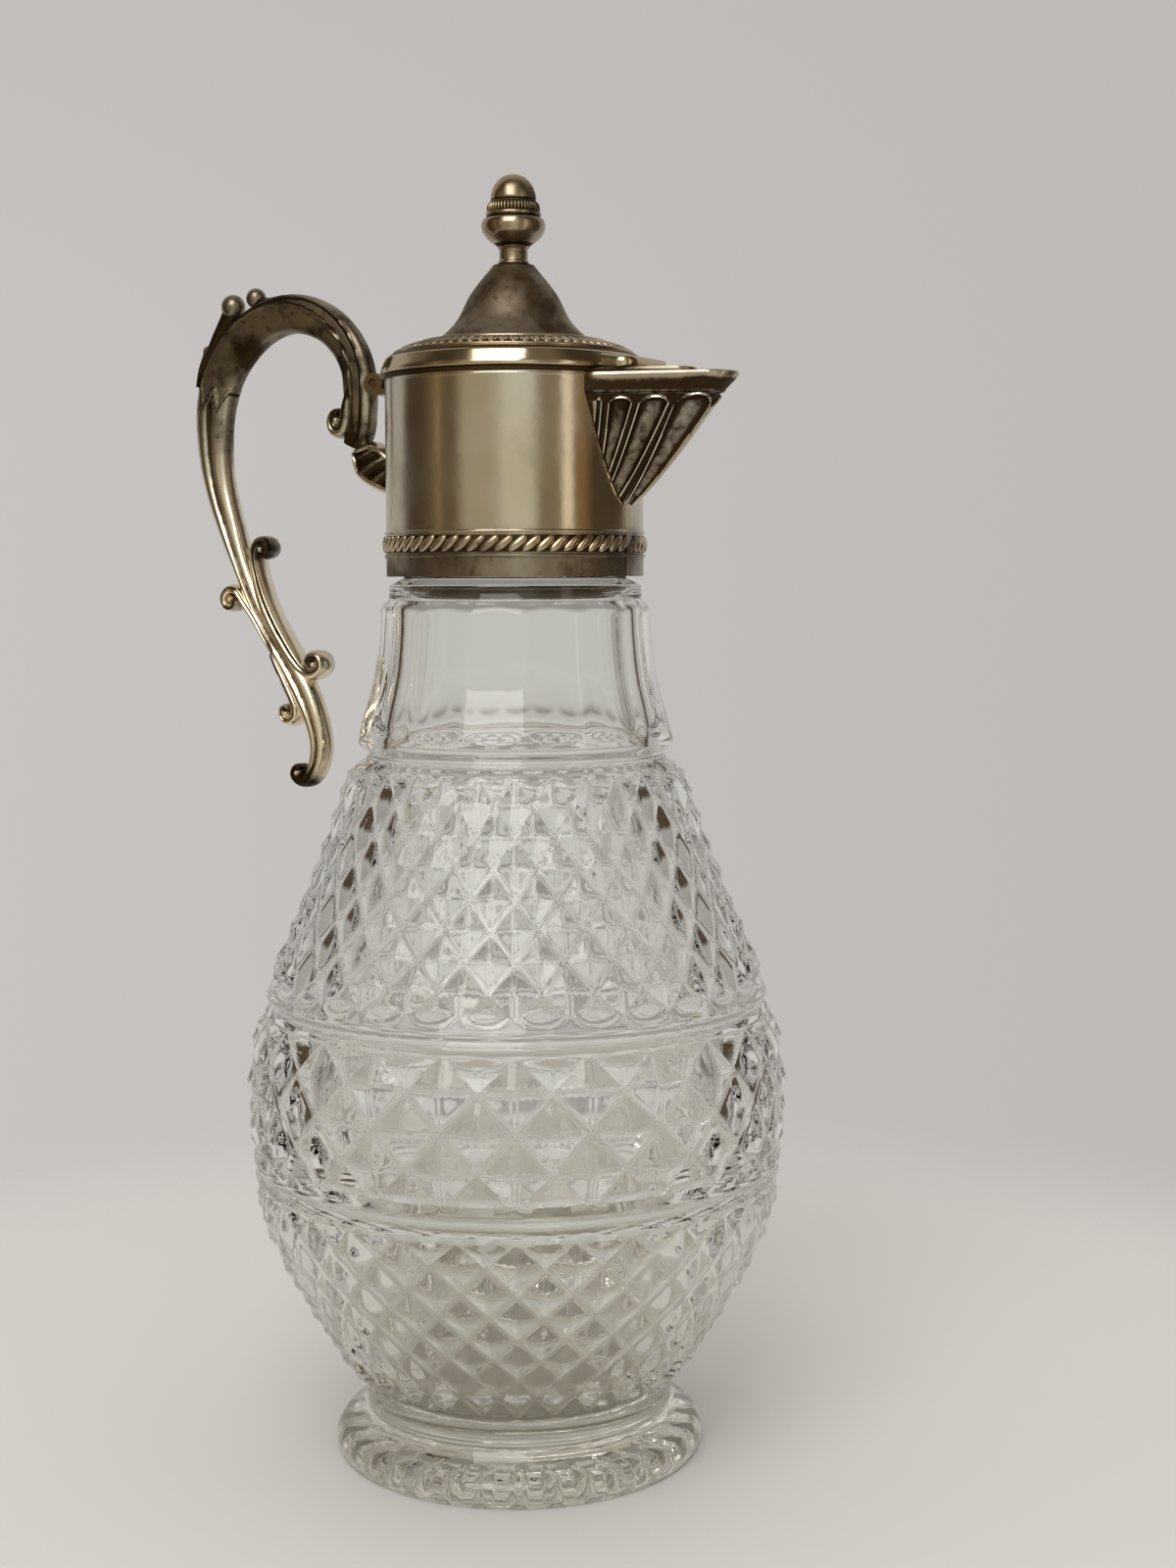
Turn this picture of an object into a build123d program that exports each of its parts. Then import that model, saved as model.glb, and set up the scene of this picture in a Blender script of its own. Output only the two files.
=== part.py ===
from build123d import *
import os
from math import acos, asin, atan2, cos, degrees, hypot, radians, sin, sqrt

# Crystal jug with a plated mount, in millimetres. The centre of the base is the origin and
# +Z is up. The spout points along +X. The hinge and the handle stand at -X.

# Glass foot
FOOT_RADIUS = 42.5
FOOT_UNDERCUT = 0.9
FOOT_BULGE_HEIGHT = 2.2
FOOT_EDGE_HEIGHT = 6.6
FOOT_EDGE_INSET = 3.4
WAIST_RADIUS = 35.2
WAIST_HEIGHT = 12.0
RAY_COUNT = 30
RAY_RADIUS = 3.1
RAY_DEPTH = 1.7
RAY_START_RADIUS = 27.0

# Glass body, from the waist up
FIELD_START_RISE = 7.3
FIELD_START_RADIUS = 37.9
LOWER_FIELD_HEIGHT = 44.7
LOWER_FIELD_TOP_RADIUS = 59.2
LOWER_FIELD_START_PULL = (4.1, 8.2)
LOWER_FIELD_END_PULL = (1.0, 15.0)
LOWER_BAND_HEIGHT = 7.9
LOWER_RING_RADIUS = 60.5
LOWER_COVE_RADIUS = 59.1
MIDDLE_FIELD_START_RADIUS = 59.6
MIDDLE_FIELD_HEIGHT = 30.4
MIDDLE_FIELD_TOP_RADIUS = 57.3
MIDDLE_FIELD_START_PULL = (0.8, 9.0)
MIDDLE_FIELD_END_PULL = (3.2, 10.0)
UPPER_BAND_HEIGHT = 7.8
UPPER_RING_RADIUS = 57.3
UPPER_COVE_RADIUS = 55.8
UPPER_FIELD_START_RADIUS = 55.6
UPPER_FIELD_HEIGHT = 47.7
UPPER_FIELD_TOP_RADIUS = 36.9
UPPER_FIELD_START_PULL = (8.0, 16.0)
UPPER_FIELD_END_PULL = (4.2, 14.0)
FINE_DIAMONDS_AROUND = 30
FINE_DIAMOND_ROWS = 7
FINE_DIAMOND_DEPTH = 1.6
BROAD_DIAMONDS_AROUND = 24
BROAD_DIAMOND_ROWS = 3
BROAD_DIAMOND_DEPTH = 2.0
RIM_ROW_SHARE = 0.85
RIM_TUCK = 0.12
RIM_POINT_SHARE = 0.26
RIM_POINT_DEPTH = 0.72
BAND_TUCK_HEIGHT = 1.8
BAND_TUCK_DEPTH = 1.9
GLASS_TURN = 0.4

# Glass neck
NECK_GROOVE_RISE = 3.3
NECK_GROOVE_RADIUS = 33.7
NECK_BULGE_RISE = 2.7
NECK_BULGE_RADIUS = 35.8
PANEL_COUNT = 16
PANEL_LOW_APOTHEM = 34.6
PANEL_LOW_RISE = 3.2
PANEL_MIDDLE_APOTHEM = 31.7
PANEL_MIDDLE_RISE = 14.4
PANEL_TOP_APOTHEM = 30.3
PANEL_TOP_RISE = 28.9
PANEL_EDGE_ROUND = 0.15
COLLAR_STEP_RISE = 3.0
COLLAR_RADIUS = 28.8
COLLAR_HEIGHT = 3.3
SHOULDER_HEIGHT = 1.6
STEM_RADIUS = 25.0
STEM_HEIGHT = 13.4
STEM_BORE_RADIUS = 20.5

# Glass hollow
GLASS_WALL = 5.2
HOLLOW_FLOOR_HEIGHT = 15.5
HOLLOW_FLOOR_RADIUS = 21.0
NECK_HOLLOW_RADIUS = 26.4

# Mount
MOUNT_RADIUS = 29.0
MOUNT_WALL = 0.8
MOUNT_HEIGHT = 43.5
MOUNT_SEAT_GAP = 0.3
BEDDING_GAP = 0.05
SEAM_WIDTH = 1.6
SEAM_HEIGHT = 15.0
SEAM_PROUD = 0.5
SEAM_GAP = 0.05
WIRE_GAP = 0.02
LOWER_WIRE_RISE = 4.1
LOWER_WIRE_HEIGHT = 0.8
WIRE_PROUD = 0.35
ROPE_RISE = 5.2
ROPE_HEIGHT = 3.8
ROPE_PROUD = 0.8
UPPER_WIRE_RISE = 9.3
UPPER_WIRE_HEIGHT = 0.8

# Spout
SPOUT_RISE = 14.9
SPOUT_NOSE_REACH = 23.0
SPOUT_NOSE_CURVE = 0.85
SPOUT_HALF_WIDTH = 13.6
SPOUT_NOSE_RADIUS = 5.0
SPOUT_NOSE_RADIUS_LOW = 1.5
SPOUT_WALL = 2.0
SPOUT_STEPS = (0.03, 0.12, 0.32, 0.62, 1.0)
SPOUT_SEAT_GAP = 0.02
LIP_HEIGHT = 3.9
LIP_FLARE = 3.0
LIP_WIDEN = 0.8
LIP_EDGE_HEIGHT = 0.9
FLUTE_DEPTH = 0.75
FLUTE_TOP_SHARE = 0.9
# Each flute of one side: its share of the way to the nose at the top and at its foot, the share
# of the height at which it ends, and its radius.
FLUTES = (
    (0.10, 0.0, 0.60, 1.4),
    (0.31, 0.0, 0.34, 3.2),
    (0.62, 0.0, 0.15, 3.6),
    (1.00, 0.8, 0.10, 4.2),
)
FLUTE_TAPER = 0.65
FLUTE_STATIONS = 5

# Lid
LID_RADIUS = 29.9
LID_WALL = 1.0
LID_SEAT_GAP = 0.1
PLATE_RADIUS = 28.8
PLATE_BORE_RADIUS = 24.0
PLATE_THICKNESS = 1.1
PLATE_TONGUE_REACH = 45.2
PLATE_TONGUE_HALF_WIDTH = 11.4
PLATE_TONGUE_NOSE_RADIUS = 4.2
LID_RIM_HEIGHT = 3.0
LID_SLOPE_START_RADIUS = 26.6
LID_SLOPE_START_RISE = 4.6
LID_SLOPE_END_RADIUS = 21.4
LID_SLOPE_END_RISE = 6.5
BELL_FOOT_RADIUS = 18.0
BELL_FOOT_RISE = 7.4
BELL_WAIST_RADIUS = 13.1
BELL_WAIST_RISE = 11.7
BELL_MIDDLE_RADIUS = 9.6
BELL_MIDDLE_RISE = 18.1
BELL_TOP_RADIUS = 4.6
BELL_HEIGHT = 24.4
LID_TONGUE_REACH = 34.8
LID_TONGUE_HALF_WIDTH = 10.0
LID_TONGUE_THICKNESS = 2.1
LID_TONGUE_ROUND = 4.5
BORDER_HEIGHT = 1.5
BORDER_MARGIN = 0.6
BORDER_GAP = 0.02

# Finial
FINIAL_GAP = 0.05
FINIAL_STEM_RADIUS = 3.2
FINIAL_BASE_RADIUS = 3.5
FINIAL_STEM_HEIGHT = 4.3
ACORN_CUP_RADIUS = 7.2
ACORN_CUP_HEIGHT = 6.2
ACORN_BAND_RADIUS = 6.3
ACORN_BAND_TAPER = 1.0
ACORN_BAND_HEIGHT = 4.3
ACORN_NUT_RADIUS = 5.2
ACORN_NUT_HEIGHT = 5.15
STUD_RADIUS = 1.5
STUD_LENGTH = 6.4
STUD_CLEARANCE = 0.1
WASHER_RADIUS = 3.6
WASHER_THICKNESS = 0.6
FINIAL_NUT_RADIUS = 3.1
FINIAL_NUT_THICKNESS = 2.2
BELL_CROWN_THICKNESS = 1.6

# Hinge
HINGE_REACH = 5.0
HINGE_RISE = 0.6
HINGE_LENGTH = 13.0
KNUCKLE_RADIUS = 2.55
KNUCKLE_GAP = 0.15
PIN_RADIUS = 1.2
PIN_CLEARANCE = 0.05
PIN_FIT = 0.02
PIN_INSET = 0.6
LEAF_THICKNESS = 1.0
LEAF_HEIGHT = 4.2
LEAF_MARGIN = 0.4
LEAF_ARM_THICKNESS = 1.4
STRAP_THICKNESS = 1.4
STRAP_LAP = 1.2

# Handle. A station is measured outwards from the mount's wall and up from its top edge.
HANDLE_THICKNESS = 6.2
HANDLE_STATIONS = (
    (13.0, -10.0, 7.4),
    (12.8, -5.0, 8.0),
    (12.9, 0.0, 8.3),
    (13.6, 5.2, 8.2),
    (16.3, 10.5, 8.3),
    (21.2, 15.2, 8.6),
    (27.6, 18.0, 9.0),
    (33.5, 18.5, 9.4),
    (40.3, 16.8, 10.2),
    (47.2, 12.4, 11.0),
    (52.7, 5.6, 11.2),
    (55.4, -2.4, 10.6),
    (55.9, -10.4, 9.6),
    (54.9, -19.9, 8.2),
    (51.6, -30.7, 6.8),
    (47.4, -40.9, 5.9),
    (43.2, -50.4, 5.6),
    (38.7, -57.4, 5.8),
    (34.4, -63.9, 6.4),
    (30.3, -70.7, 6.8),
    (27.1, -77.0, 5.7),
    (25.4, -82.9, 5.2),
    (26.2, -88.1, 5.0),
    (29.3, -91.4, 4.4),
)
HANDLE_FLUTE_DEPTH = 0.7
LEAF_HALF_THICKNESS = 2.8
# Each leaf that curls away from the shank: outward, rise and half width along it.
HANDLE_LEAVES = (
    (
        (26.7, -65.2, 1.0), (27.8, -63.7, 1.1), (26.7, -62.2, 1.2), (24.6, -62.6, 1.3),
        (24.0, -64.9, 1.4), (26.2, -66.6, 1.5), (28.9, -66.0, 1.6), (31.6, -63.7, 1.8),
        (35.0, -59.4, 2.1), (38.4, -54.2, 2.2), (41.2, -48.4, 2.0), (42.8, -43.0, 1.6),
        (43.4, -39.4, 1.4), (43.2, -36.8, 1.3), (41.9, -35.0, 1.3), (40.1, -35.1, 1.2),
        (39.4, -36.9, 1.1), (40.5, -38.2, 1.0),
    ),
    (
        (37.0, -62.5, 0.8), (40.2, -58.2, 1.2), (43.6, -53.2, 1.4), (46.4, -49.7, 1.4),
        (48.6, -47.0, 1.4), (50.9, -46.6, 1.3), (52.4, -48.3, 1.3), (51.9, -50.3, 1.2),
        (50.0, -50.6, 1.0),
    ),
    (
        (38.6, -61.2, 0.8), (36.2, -65.6, 1.2), (33.6, -70.4, 1.4), (31.7, -74.2, 1.4),
        (31.6, -76.8, 1.3), (33.3, -78.1, 1.2), (35.2, -77.2, 1.1), (35.4, -75.2, 1.0),
    ),
    (
        (15.4, -3.6, 1.6), (16.0, -7.2, 1.9), (17.2, -9.4, 1.8), (19.3, -9.0, 1.7),
        (19.9, -6.9, 1.5), (18.8, -5.3, 1.3),
    ),
    (
        (27.2, -90.3, 1.7), (29.2, -92.1, 1.8), (31.1, -92.1, 1.5), (32.3, -90.7, 1.3),
        (31.6, -89.2, 1.1),
    ),
)
# Each eye of a curl: its centre, its radius and how far it stands out to each side.
CURL_EYES = (
    (25.8, -64.3, 1.4, 3.4),
    (41.0, -36.8, 1.3, 3.4),
    (50.3, -48.9, 1.3, 3.4),
    (34.0, -76.2, 1.3, 3.4),
    (18.3, -7.0, 1.5, 3.4),
    (30.4, -90.4, 1.3, 3.4),
    (57.3, 10.9, 1.6, 1.6),
)
# Each bead on the arch's back: its centre, its radius, and the same for its leaf.
HANDLE_BEADS = (
    (49.8, 21.3, 2.9, 54.4, 12.6, 2.0),
    (42.9, 22.9, 2.4, 41.5, 19.0, 2.2),
)
ROOT_RISE = -16.7
ROOT_HALF_HEIGHT = 5.2
ROOT_HALF_WIDTH = 4.6
ROOT_SWELL = (8.4, -13.9, 6.4, 5.4)
ROOT_TIP = (14.0, -10.4, 4.4, 4.2)

# Heights worked out from the sizes
LOWER_FIELD_BASE = WAIST_HEIGHT + FIELD_START_RISE
LOWER_BAND_BASE = LOWER_FIELD_BASE + LOWER_FIELD_HEIGHT
MIDDLE_FIELD_BASE = LOWER_BAND_BASE + LOWER_BAND_HEIGHT
UPPER_BAND_BASE = MIDDLE_FIELD_BASE + MIDDLE_FIELD_HEIGHT
UPPER_FIELD_BASE = UPPER_BAND_BASE + UPPER_BAND_HEIGHT
NECK_BASE = UPPER_FIELD_BASE + UPPER_FIELD_HEIGHT
NECK_GROOVE = NECK_BASE + NECK_GROOVE_RISE
NECK_BULGE = NECK_GROOVE + NECK_BULGE_RISE
PANEL_TOP = NECK_BULGE + PANEL_TOP_RISE
COLLAR_BASE = PANEL_TOP + COLLAR_STEP_RISE
SHOULDER_BASE = COLLAR_BASE + COLLAR_HEIGHT
STEM_BASE = SHOULDER_BASE + SHOULDER_HEIGHT
STEM_TOP = STEM_BASE + STEM_HEIGHT
MOUNT_BASE = STEM_BASE + MOUNT_SEAT_GAP
MOUNT_TOP = MOUNT_BASE + MOUNT_HEIGHT
MOUNT_BORE_RADIUS = MOUNT_RADIUS - MOUNT_WALL
SPOUT_BASE = MOUNT_BASE + SPOUT_RISE
LIP_BASE = MOUNT_TOP - LIP_HEIGHT
PLATE_BASE = MOUNT_TOP + LID_SEAT_GAP
LID_BASE = PLATE_BASE + PLATE_THICKNESS
CROWN_TOP = LID_BASE + BELL_HEIGHT
FINIAL_BASE = CROWN_TOP + FINIAL_GAP
HINGE_X = -MOUNT_RADIUS - HINGE_REACH
HINGE_Z = MOUNT_TOP + HINGE_RISE
KNUCKLE_LENGTH = (HINGE_LENGTH - 2 * KNUCKLE_GAP) / 3


def field_curve(start, end, start_pull, end_pull):
    """Profile of a diamond field, as a curve through the bottoms of its cuts."""
    return Bezier(
        start,
        (start[0] + start_pull[0], start[1] + start_pull[1]),
        (end[0] + end_pull[0], end[1] - end_pull[1]),
        end,
    )


def row_shares(rows):
    """Shares of the profile's length at which the rows of cuts cross it."""
    total = rows - 1 + 2 * RIM_ROW_SHARE
    inner = [(RIM_ROW_SHARE + row) / total for row in range(rows)]
    return [0.0] + inner + [1.0]


def diamond_belt(curve, rows, around, depth):
    """Solid belt whose outside is rows of four-sided diamonds, staggered like bricks."""
    pitch = 360 / around
    shares = row_shares(rows)
    top_level = rows + 1
    levels = []
    for level, share in enumerate(shares):
        place = curve @ share
        tuck = RIM_TUCK if level in (0, top_level) else 0.0
        levels.append((place.X - tuck, place.Y))

    def node(level, step):
        angle = radians(GLASS_TURN + (step + 0.5 * (level % 2)) * pitch)
        radius, height = levels[level]
        return Vector(radius * cos(angle), radius * sin(angle), height)

    def apex(level, step):
        angle = radians(GLASS_TURN + (step + 0.5 * (level % 2) + 0.5) * pitch)
        along = curve % shares[level]
        radius = levels[level][0] + depth * along.Y
        height = levels[level][1] - depth * along.X
        return Vector(radius * cos(angle), radius * sin(angle), height)

    def rim_apex(level, step):
        angle = radians(GLASS_TURN + (step + 0.5) * pitch)
        row = 1 / (rows - 1 + 2 * RIM_ROW_SHARE)
        share = RIM_POINT_SHARE * row if level == 0 else 1 - RIM_POINT_SHARE * row
        place = curve @ share
        along = curve % share
        radius = place.X + RIM_POINT_DEPTH * depth * along.Y
        height = place.Y - RIM_POINT_DEPTH * depth * along.X
        return Vector(radius * cos(angle), radius * sin(angle), height)

    def triangle(*corners):
        return Face(Wire.make_polygon(corners, close=True))

    faces = []
    for level in range(1, rows + 1):
        for step in range(around):
            across = step + level % 2
            left = node(level, step)
            right = node(level, step + 1)
            below = node(level - 1, across)
            above = node(level + 1, across)
            point = apex(level, step)
            faces.append(triangle(left, below, point))
            faces.append(triangle(below, right, point))
            faces.append(triangle(right, above, point))
            faces.append(triangle(above, left, point))
    for step in range(around):
        low_left, low_right, low_tip = node(0, step), node(0, step + 1), node(1, step)
        low_point = rim_apex(0, step)
        faces.append(triangle(low_left, low_right, low_point))
        faces.append(triangle(low_right, low_tip, low_point))
        faces.append(triangle(low_tip, low_left, low_point))
        high_left, high_right = node(top_level, step), node(top_level, step + 1)
        high_tip, high_point = node(rows, step + top_level % 2), rim_apex(top_level, step)
        faces.append(triangle(high_right, high_left, high_point))
        faces.append(triangle(high_left, high_tip, high_point))
        faces.append(triangle(high_tip, high_right, high_point))
    faces.append(triangle(*[node(0, step) for step in range(around)][::-1]))
    faces.append(triangle(*[node(top_level, step) for step in range(around)]))
    return Solid(Shell(faces))


def panel_radius(apothem):
    """Radius of the neck's rounded panel edges, just inside the corners of its panels."""
    return apothem / cos(radians(180 / PANEL_COUNT)) - PANEL_EDGE_ROUND


def spout_outline(share, inset=0.0):
    """Half width, nose tip and nose radius of the spout's plan at a share of its height."""
    half_width = SPOUT_HALF_WIDTH * sqrt(share) - inset
    tip = MOUNT_RADIUS + SPOUT_NOSE_REACH * share**SPOUT_NOSE_CURVE - inset
    spread = SPOUT_NOSE_RADIUS - SPOUT_NOSE_RADIUS_LOW
    return half_width, tip, SPOUT_NOSE_RADIUS_LOW + spread * share - 0.5 * inset


def outline_points(half_width, tip, nose_radius):
    """Corner points of a tongue shape that springs from the mount's wall."""
    root_x = sqrt(MOUNT_RADIUS**2 - half_width**2)
    centre_x = tip - nose_radius
    lean = acos(nose_radius / hypot(root_x - centre_x, half_width))
    angle = atan2(half_width, root_x - centre_x) - lean
    flank_end = (centre_x + nose_radius * cos(angle), nose_radius * sin(angle))
    back_x = MOUNT_RADIUS * 0.8
    slope = (half_width - flank_end[1]) / (root_x - flank_end[0])
    back = (back_x, half_width + slope * (back_x - root_x))
    return (root_x, half_width), back, flank_end


def tongue_sketch(half_width, tip, nose_radius, height):
    """Tongue-shaped sketch with straight flanks and a round nose."""
    _, back, flank_end = outline_points(half_width, tip, nose_radius)
    with BuildSketch(Plane.XY.offset(height)) as sketch:
        with BuildLine():
            Line((back[0], -back[1]), (flank_end[0], -flank_end[1]))
            ThreePointArc((flank_end[0], -flank_end[1]), (tip, 0), flank_end)
            Line(flank_end, back)
            Line(back, (back[0], -back[1]))
        make_face()
    return sketch.sketch


def spout_height(share):
    """Height at a share of the spout's rise."""
    return SPOUT_BASE + share * (LIP_BASE - SPOUT_BASE)


def spout_sketch(share, inset=0.0):
    """Plan of the spout at one share of its height."""
    half_width, tip, nose_radius = spout_outline(share, inset)
    return tongue_sketch(half_width, tip, nose_radius, spout_height(share))


def flank_point(share, along):
    """Point on the spout's flank towards -Y, along from the mount's wall to the nose."""
    root, _, flank_end = outline_points(*spout_outline(share))
    x = root[0] + along * (flank_end[0] - root[0])
    y = root[1] + along * (flank_end[1] - root[1])
    return Vector(x, -y, spout_height(share))


def flank_normal(share, along):
    """Outward direction of the spout's flank at a point."""
    step = 0.02
    across = flank_point(share, along + step) - flank_point(share, along - step)
    upward = flank_point(share + step, along) - flank_point(share - step, along)
    return across.cross(upward).normalized()


def handle_point(outward, rise):
    """Place in the handle's plane, from the mount's wall and its top edge."""
    return Vector(-MOUNT_RADIUS - outward, 0, MOUNT_TOP + rise)


def flute_cutter(places):
    """Tapered round tool along a row of centres and radii, with a ball at its first end."""
    with BuildPart() as cutter:
        for index, (centre, radius) in enumerate(places):
            ahead = places[min(index + 1, len(places) - 1)][0]
            behind = places[max(index - 1, 0)][0]
            with BuildSketch(Plane(origin=centre, x_dir=(1, 0, 0), z_dir=ahead - behind)):
                Circle(radius)
        loft()
        with Locations(places[0][0]):
            Sphere(places[0][1])
    return cutter.part


def flank_flute(top_along, foot_along, end_share, radius):
    """Cutter for one flute on the spout's flank towards -Y."""
    places = []
    for station in range(FLUTE_STATIONS):
        part_way = station / (FLUTE_STATIONS - 1)
        share = FLUTE_TOP_SHARE + (end_share - FLUTE_TOP_SHARE) * part_way
        along = top_along + (foot_along - top_along) * part_way
        size = radius * (1 - FLUTE_TAPER * part_way)
        lift = size - FLUTE_DEPTH * (1 - 0.5 * part_way)
        places.append((flank_point(share, along) + flank_normal(share, along) * lift, size))
    return flute_cutter(places)


def open_ring(base, height, proud):
    """Half-round ring on the mount, broken where the soldered seam passes."""
    inner = MOUNT_RADIUS + WIRE_GAP
    break_angle = degrees(asin((SEAM_WIDTH / 2 + SEAM_GAP) / MOUNT_RADIUS))
    turn = radians(break_angle)
    with BuildPart() as ring:
        section = Plane((0, 0, 0), (cos(turn), sin(turn), 0), (sin(turn), -cos(turn), 0))
        with BuildSketch(section):
            with BuildLine():
                Line((inner, base), (inner, base + height))
                ThreePointArc((inner, base + height), (inner + proud, base + height / 2), (inner, base))
            make_face()
        revolve(axis=Axis.Z, revolution_arc=360 - 2 * break_angle)
    return ring.part


def lid_profile(inset):
    """Knots of the lid's outside from its rim to its crown, moved inwards by an inset."""
    knots = (
        (LID_SLOPE_START_RADIUS, LID_SLOPE_START_RISE),
        (LID_SLOPE_END_RADIUS, LID_SLOPE_END_RISE),
        (BELL_FOOT_RADIUS, BELL_FOOT_RISE),
        (BELL_WAIST_RADIUS, BELL_WAIST_RISE),
        (BELL_MIDDLE_RADIUS, BELL_MIDDLE_RISE),
        (BELL_TOP_RADIUS, BELL_HEIGHT),
    )
    moved = []
    for index, (radius, rise) in enumerate(knots):
        ahead = knots[min(index + 1, len(knots) - 1)]
        behind = knots[max(index - 1, 0)]
        run = hypot(ahead[0] - behind[0], ahead[1] - behind[1])
        radius -= inset * (ahead[1] - behind[1]) / run
        rise += inset * (ahead[0] - behind[0]) / run
        moved.append((radius, LID_BASE + rise))
    return moved


def handle_section(index):
    """Closed section of the handle's shank at one station, with a flute on each side."""
    here = HANDLE_STATIONS[index]
    ahead = HANDLE_STATIONS[min(index + 1, len(HANDLE_STATIONS) - 1)]
    behind = HANDLE_STATIONS[max(index - 1, 0)]
    along = handle_point(*ahead[:2]) - handle_point(*behind[:2])
    half_width = here[2] / 2
    half_thickness = HANDLE_THICKNESS / 2
    waist = half_thickness - HANDLE_FLUTE_DEPTH
    plane = Plane(origin=handle_point(*here[:2]), x_dir=(-along.Z, 0, along.X), z_dir=along)
    with BuildSketch(plane) as section:
        with BuildLine():
            Spline(
                (half_width, 0),
                (0.72 * half_width, 0.86 * half_thickness),
                (0.42 * half_width, half_thickness),
                (0, waist),
                (-0.42 * half_width, half_thickness),
                (-0.72 * half_width, 0.86 * half_thickness),
                (-half_width, 0),
                (-0.72 * half_width, -0.86 * half_thickness),
                (-0.42 * half_width, -half_thickness),
                (0, -waist),
                (0.42 * half_width, -half_thickness),
                (0.72 * half_width, -0.86 * half_thickness),
                periodic=True,
            )
        make_face()
    return section.sketch


def leaf_strip(stations):
    """Flat strip of the handle, through circles along its stations."""
    with BuildPart() as strip:
        with BuildSketch(Plane.XZ):
            for here, ahead in zip(stations, stations[1:]):
                with BuildSketch(Plane.XZ, mode=Mode.ADD):
                    for outward, rise, radius in (here, ahead):
                        spot = handle_point(outward, rise)
                        with Locations((spot.X, spot.Z)):
                            Circle(radius)
                    make_hull()
        extrude(amount=LEAF_HALF_THICKNESS, both=True)
    return strip.part


os.makedirs("parts", exist_ok=True)

# Profiles of the three fields of cuts
lower_curve = field_curve(
    (FIELD_START_RADIUS, LOWER_FIELD_BASE),
    (LOWER_FIELD_TOP_RADIUS, LOWER_BAND_BASE),
    LOWER_FIELD_START_PULL,
    (-LOWER_FIELD_END_PULL[0], LOWER_FIELD_END_PULL[1]),
)
middle_curve = field_curve(
    (MIDDLE_FIELD_START_RADIUS, MIDDLE_FIELD_BASE),
    (MIDDLE_FIELD_TOP_RADIUS, UPPER_BAND_BASE),
    MIDDLE_FIELD_START_PULL,
    MIDDLE_FIELD_END_PULL,
)
upper_curve = field_curve(
    (UPPER_FIELD_START_RADIUS, UPPER_FIELD_BASE),
    (UPPER_FIELD_TOP_RADIUS, NECK_BASE),
    (-UPPER_FIELD_START_PULL[0], UPPER_FIELD_START_PULL[1]),
    UPPER_FIELD_END_PULL,
)

# Hollow of the glass
with BuildPart() as hollow:
    with BuildSketch(Plane.XZ):
        with BuildLine():
            middle = middle_curve @ 0.4
            lower = lower_curve @ 0.45
            upper = upper_curve @ 0.5
            floor_edge = (HOLLOW_FLOOR_RADIUS, HOLLOW_FLOOR_HEIGHT)
            Line((0, HOLLOW_FLOOR_HEIGHT), floor_edge)
            Spline(
                floor_edge,
                (lower.X - GLASS_WALL - 1.2, lower.Y),
                (middle.X - GLASS_WALL, middle.Y),
                (upper.X - GLASS_WALL, upper.Y),
                (NECK_HOLLOW_RADIUS, NECK_BULGE + PANEL_LOW_RISE),
                (STEM_BORE_RADIUS, SHOULDER_BASE),
                tangents=((1, 0.15), (0, 1)),
            )
            Line((STEM_BORE_RADIUS, SHOULDER_BASE), (STEM_BORE_RADIUS, STEM_TOP + 1))
            Line((STEM_BORE_RADIUS, STEM_TOP + 1), (0, STEM_TOP + 1))
            Line((0, STEM_TOP + 1), (0, HOLLOW_FLOOR_HEIGHT))
        make_face()
    revolve(axis=Axis.Z)

# Glass neck, with flat panels
with BuildPart() as glass_neck:
    with BuildSketch(Plane.XZ):
        with BuildLine():
            Polyline(
                (0, NECK_BASE - BAND_TUCK_HEIGHT),
                (UPPER_FIELD_TOP_RADIUS - BAND_TUCK_DEPTH, NECK_BASE - BAND_TUCK_HEIGHT),
                (UPPER_FIELD_TOP_RADIUS, NECK_BASE),
            )
            Spline(
                (UPPER_FIELD_TOP_RADIUS, NECK_BASE),
                (NECK_GROOVE_RADIUS, NECK_GROOVE),
                (NECK_BULGE_RADIUS, NECK_BULGE),
                tangents=((-0.3, 1), (0.1, 1)),
            )
            Spline(
                (NECK_BULGE_RADIUS, NECK_BULGE),
                (panel_radius(PANEL_LOW_APOTHEM), NECK_BULGE + PANEL_LOW_RISE),
                (panel_radius(PANEL_MIDDLE_APOTHEM), NECK_BULGE + PANEL_MIDDLE_RISE),
                (panel_radius(PANEL_TOP_APOTHEM), PANEL_TOP),
                tangents=((0.1, 1), (-0.05, 1)),
            )
            Polyline(
                (panel_radius(PANEL_TOP_APOTHEM), PANEL_TOP),
                (COLLAR_RADIUS, COLLAR_BASE),
                (COLLAR_RADIUS - 0.3, SHOULDER_BASE),
                (STEM_RADIUS, STEM_BASE),
                (STEM_RADIUS, STEM_TOP),
                (0, STEM_TOP),
                (0, NECK_BASE - BAND_TUCK_HEIGHT),
            )
        make_face()
    revolve(axis=Axis.Z)
    panel_sections = (
        (NECK_BULGE_RADIUS * 1.12, NECK_BASE - 2 * BAND_TUCK_HEIGHT),
        (NECK_BULGE_RADIUS * 1.02, NECK_BULGE - 0.5),
        (PANEL_LOW_APOTHEM, NECK_BULGE + PANEL_LOW_RISE),
        (PANEL_MIDDLE_APOTHEM, NECK_BULGE + PANEL_MIDDLE_RISE),
        (PANEL_TOP_APOTHEM, PANEL_TOP - 0.5),
        (PANEL_TOP_APOTHEM, STEM_TOP + 1),
    )
    for apothem, height in panel_sections:
        with BuildSketch(Plane.XY.offset(height)):
            RegularPolygon(apothem, PANEL_COUNT, major_radius=False, rotation=GLASS_TURN)
    loft(ruled=True, mode=Mode.INTERSECT)

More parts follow.
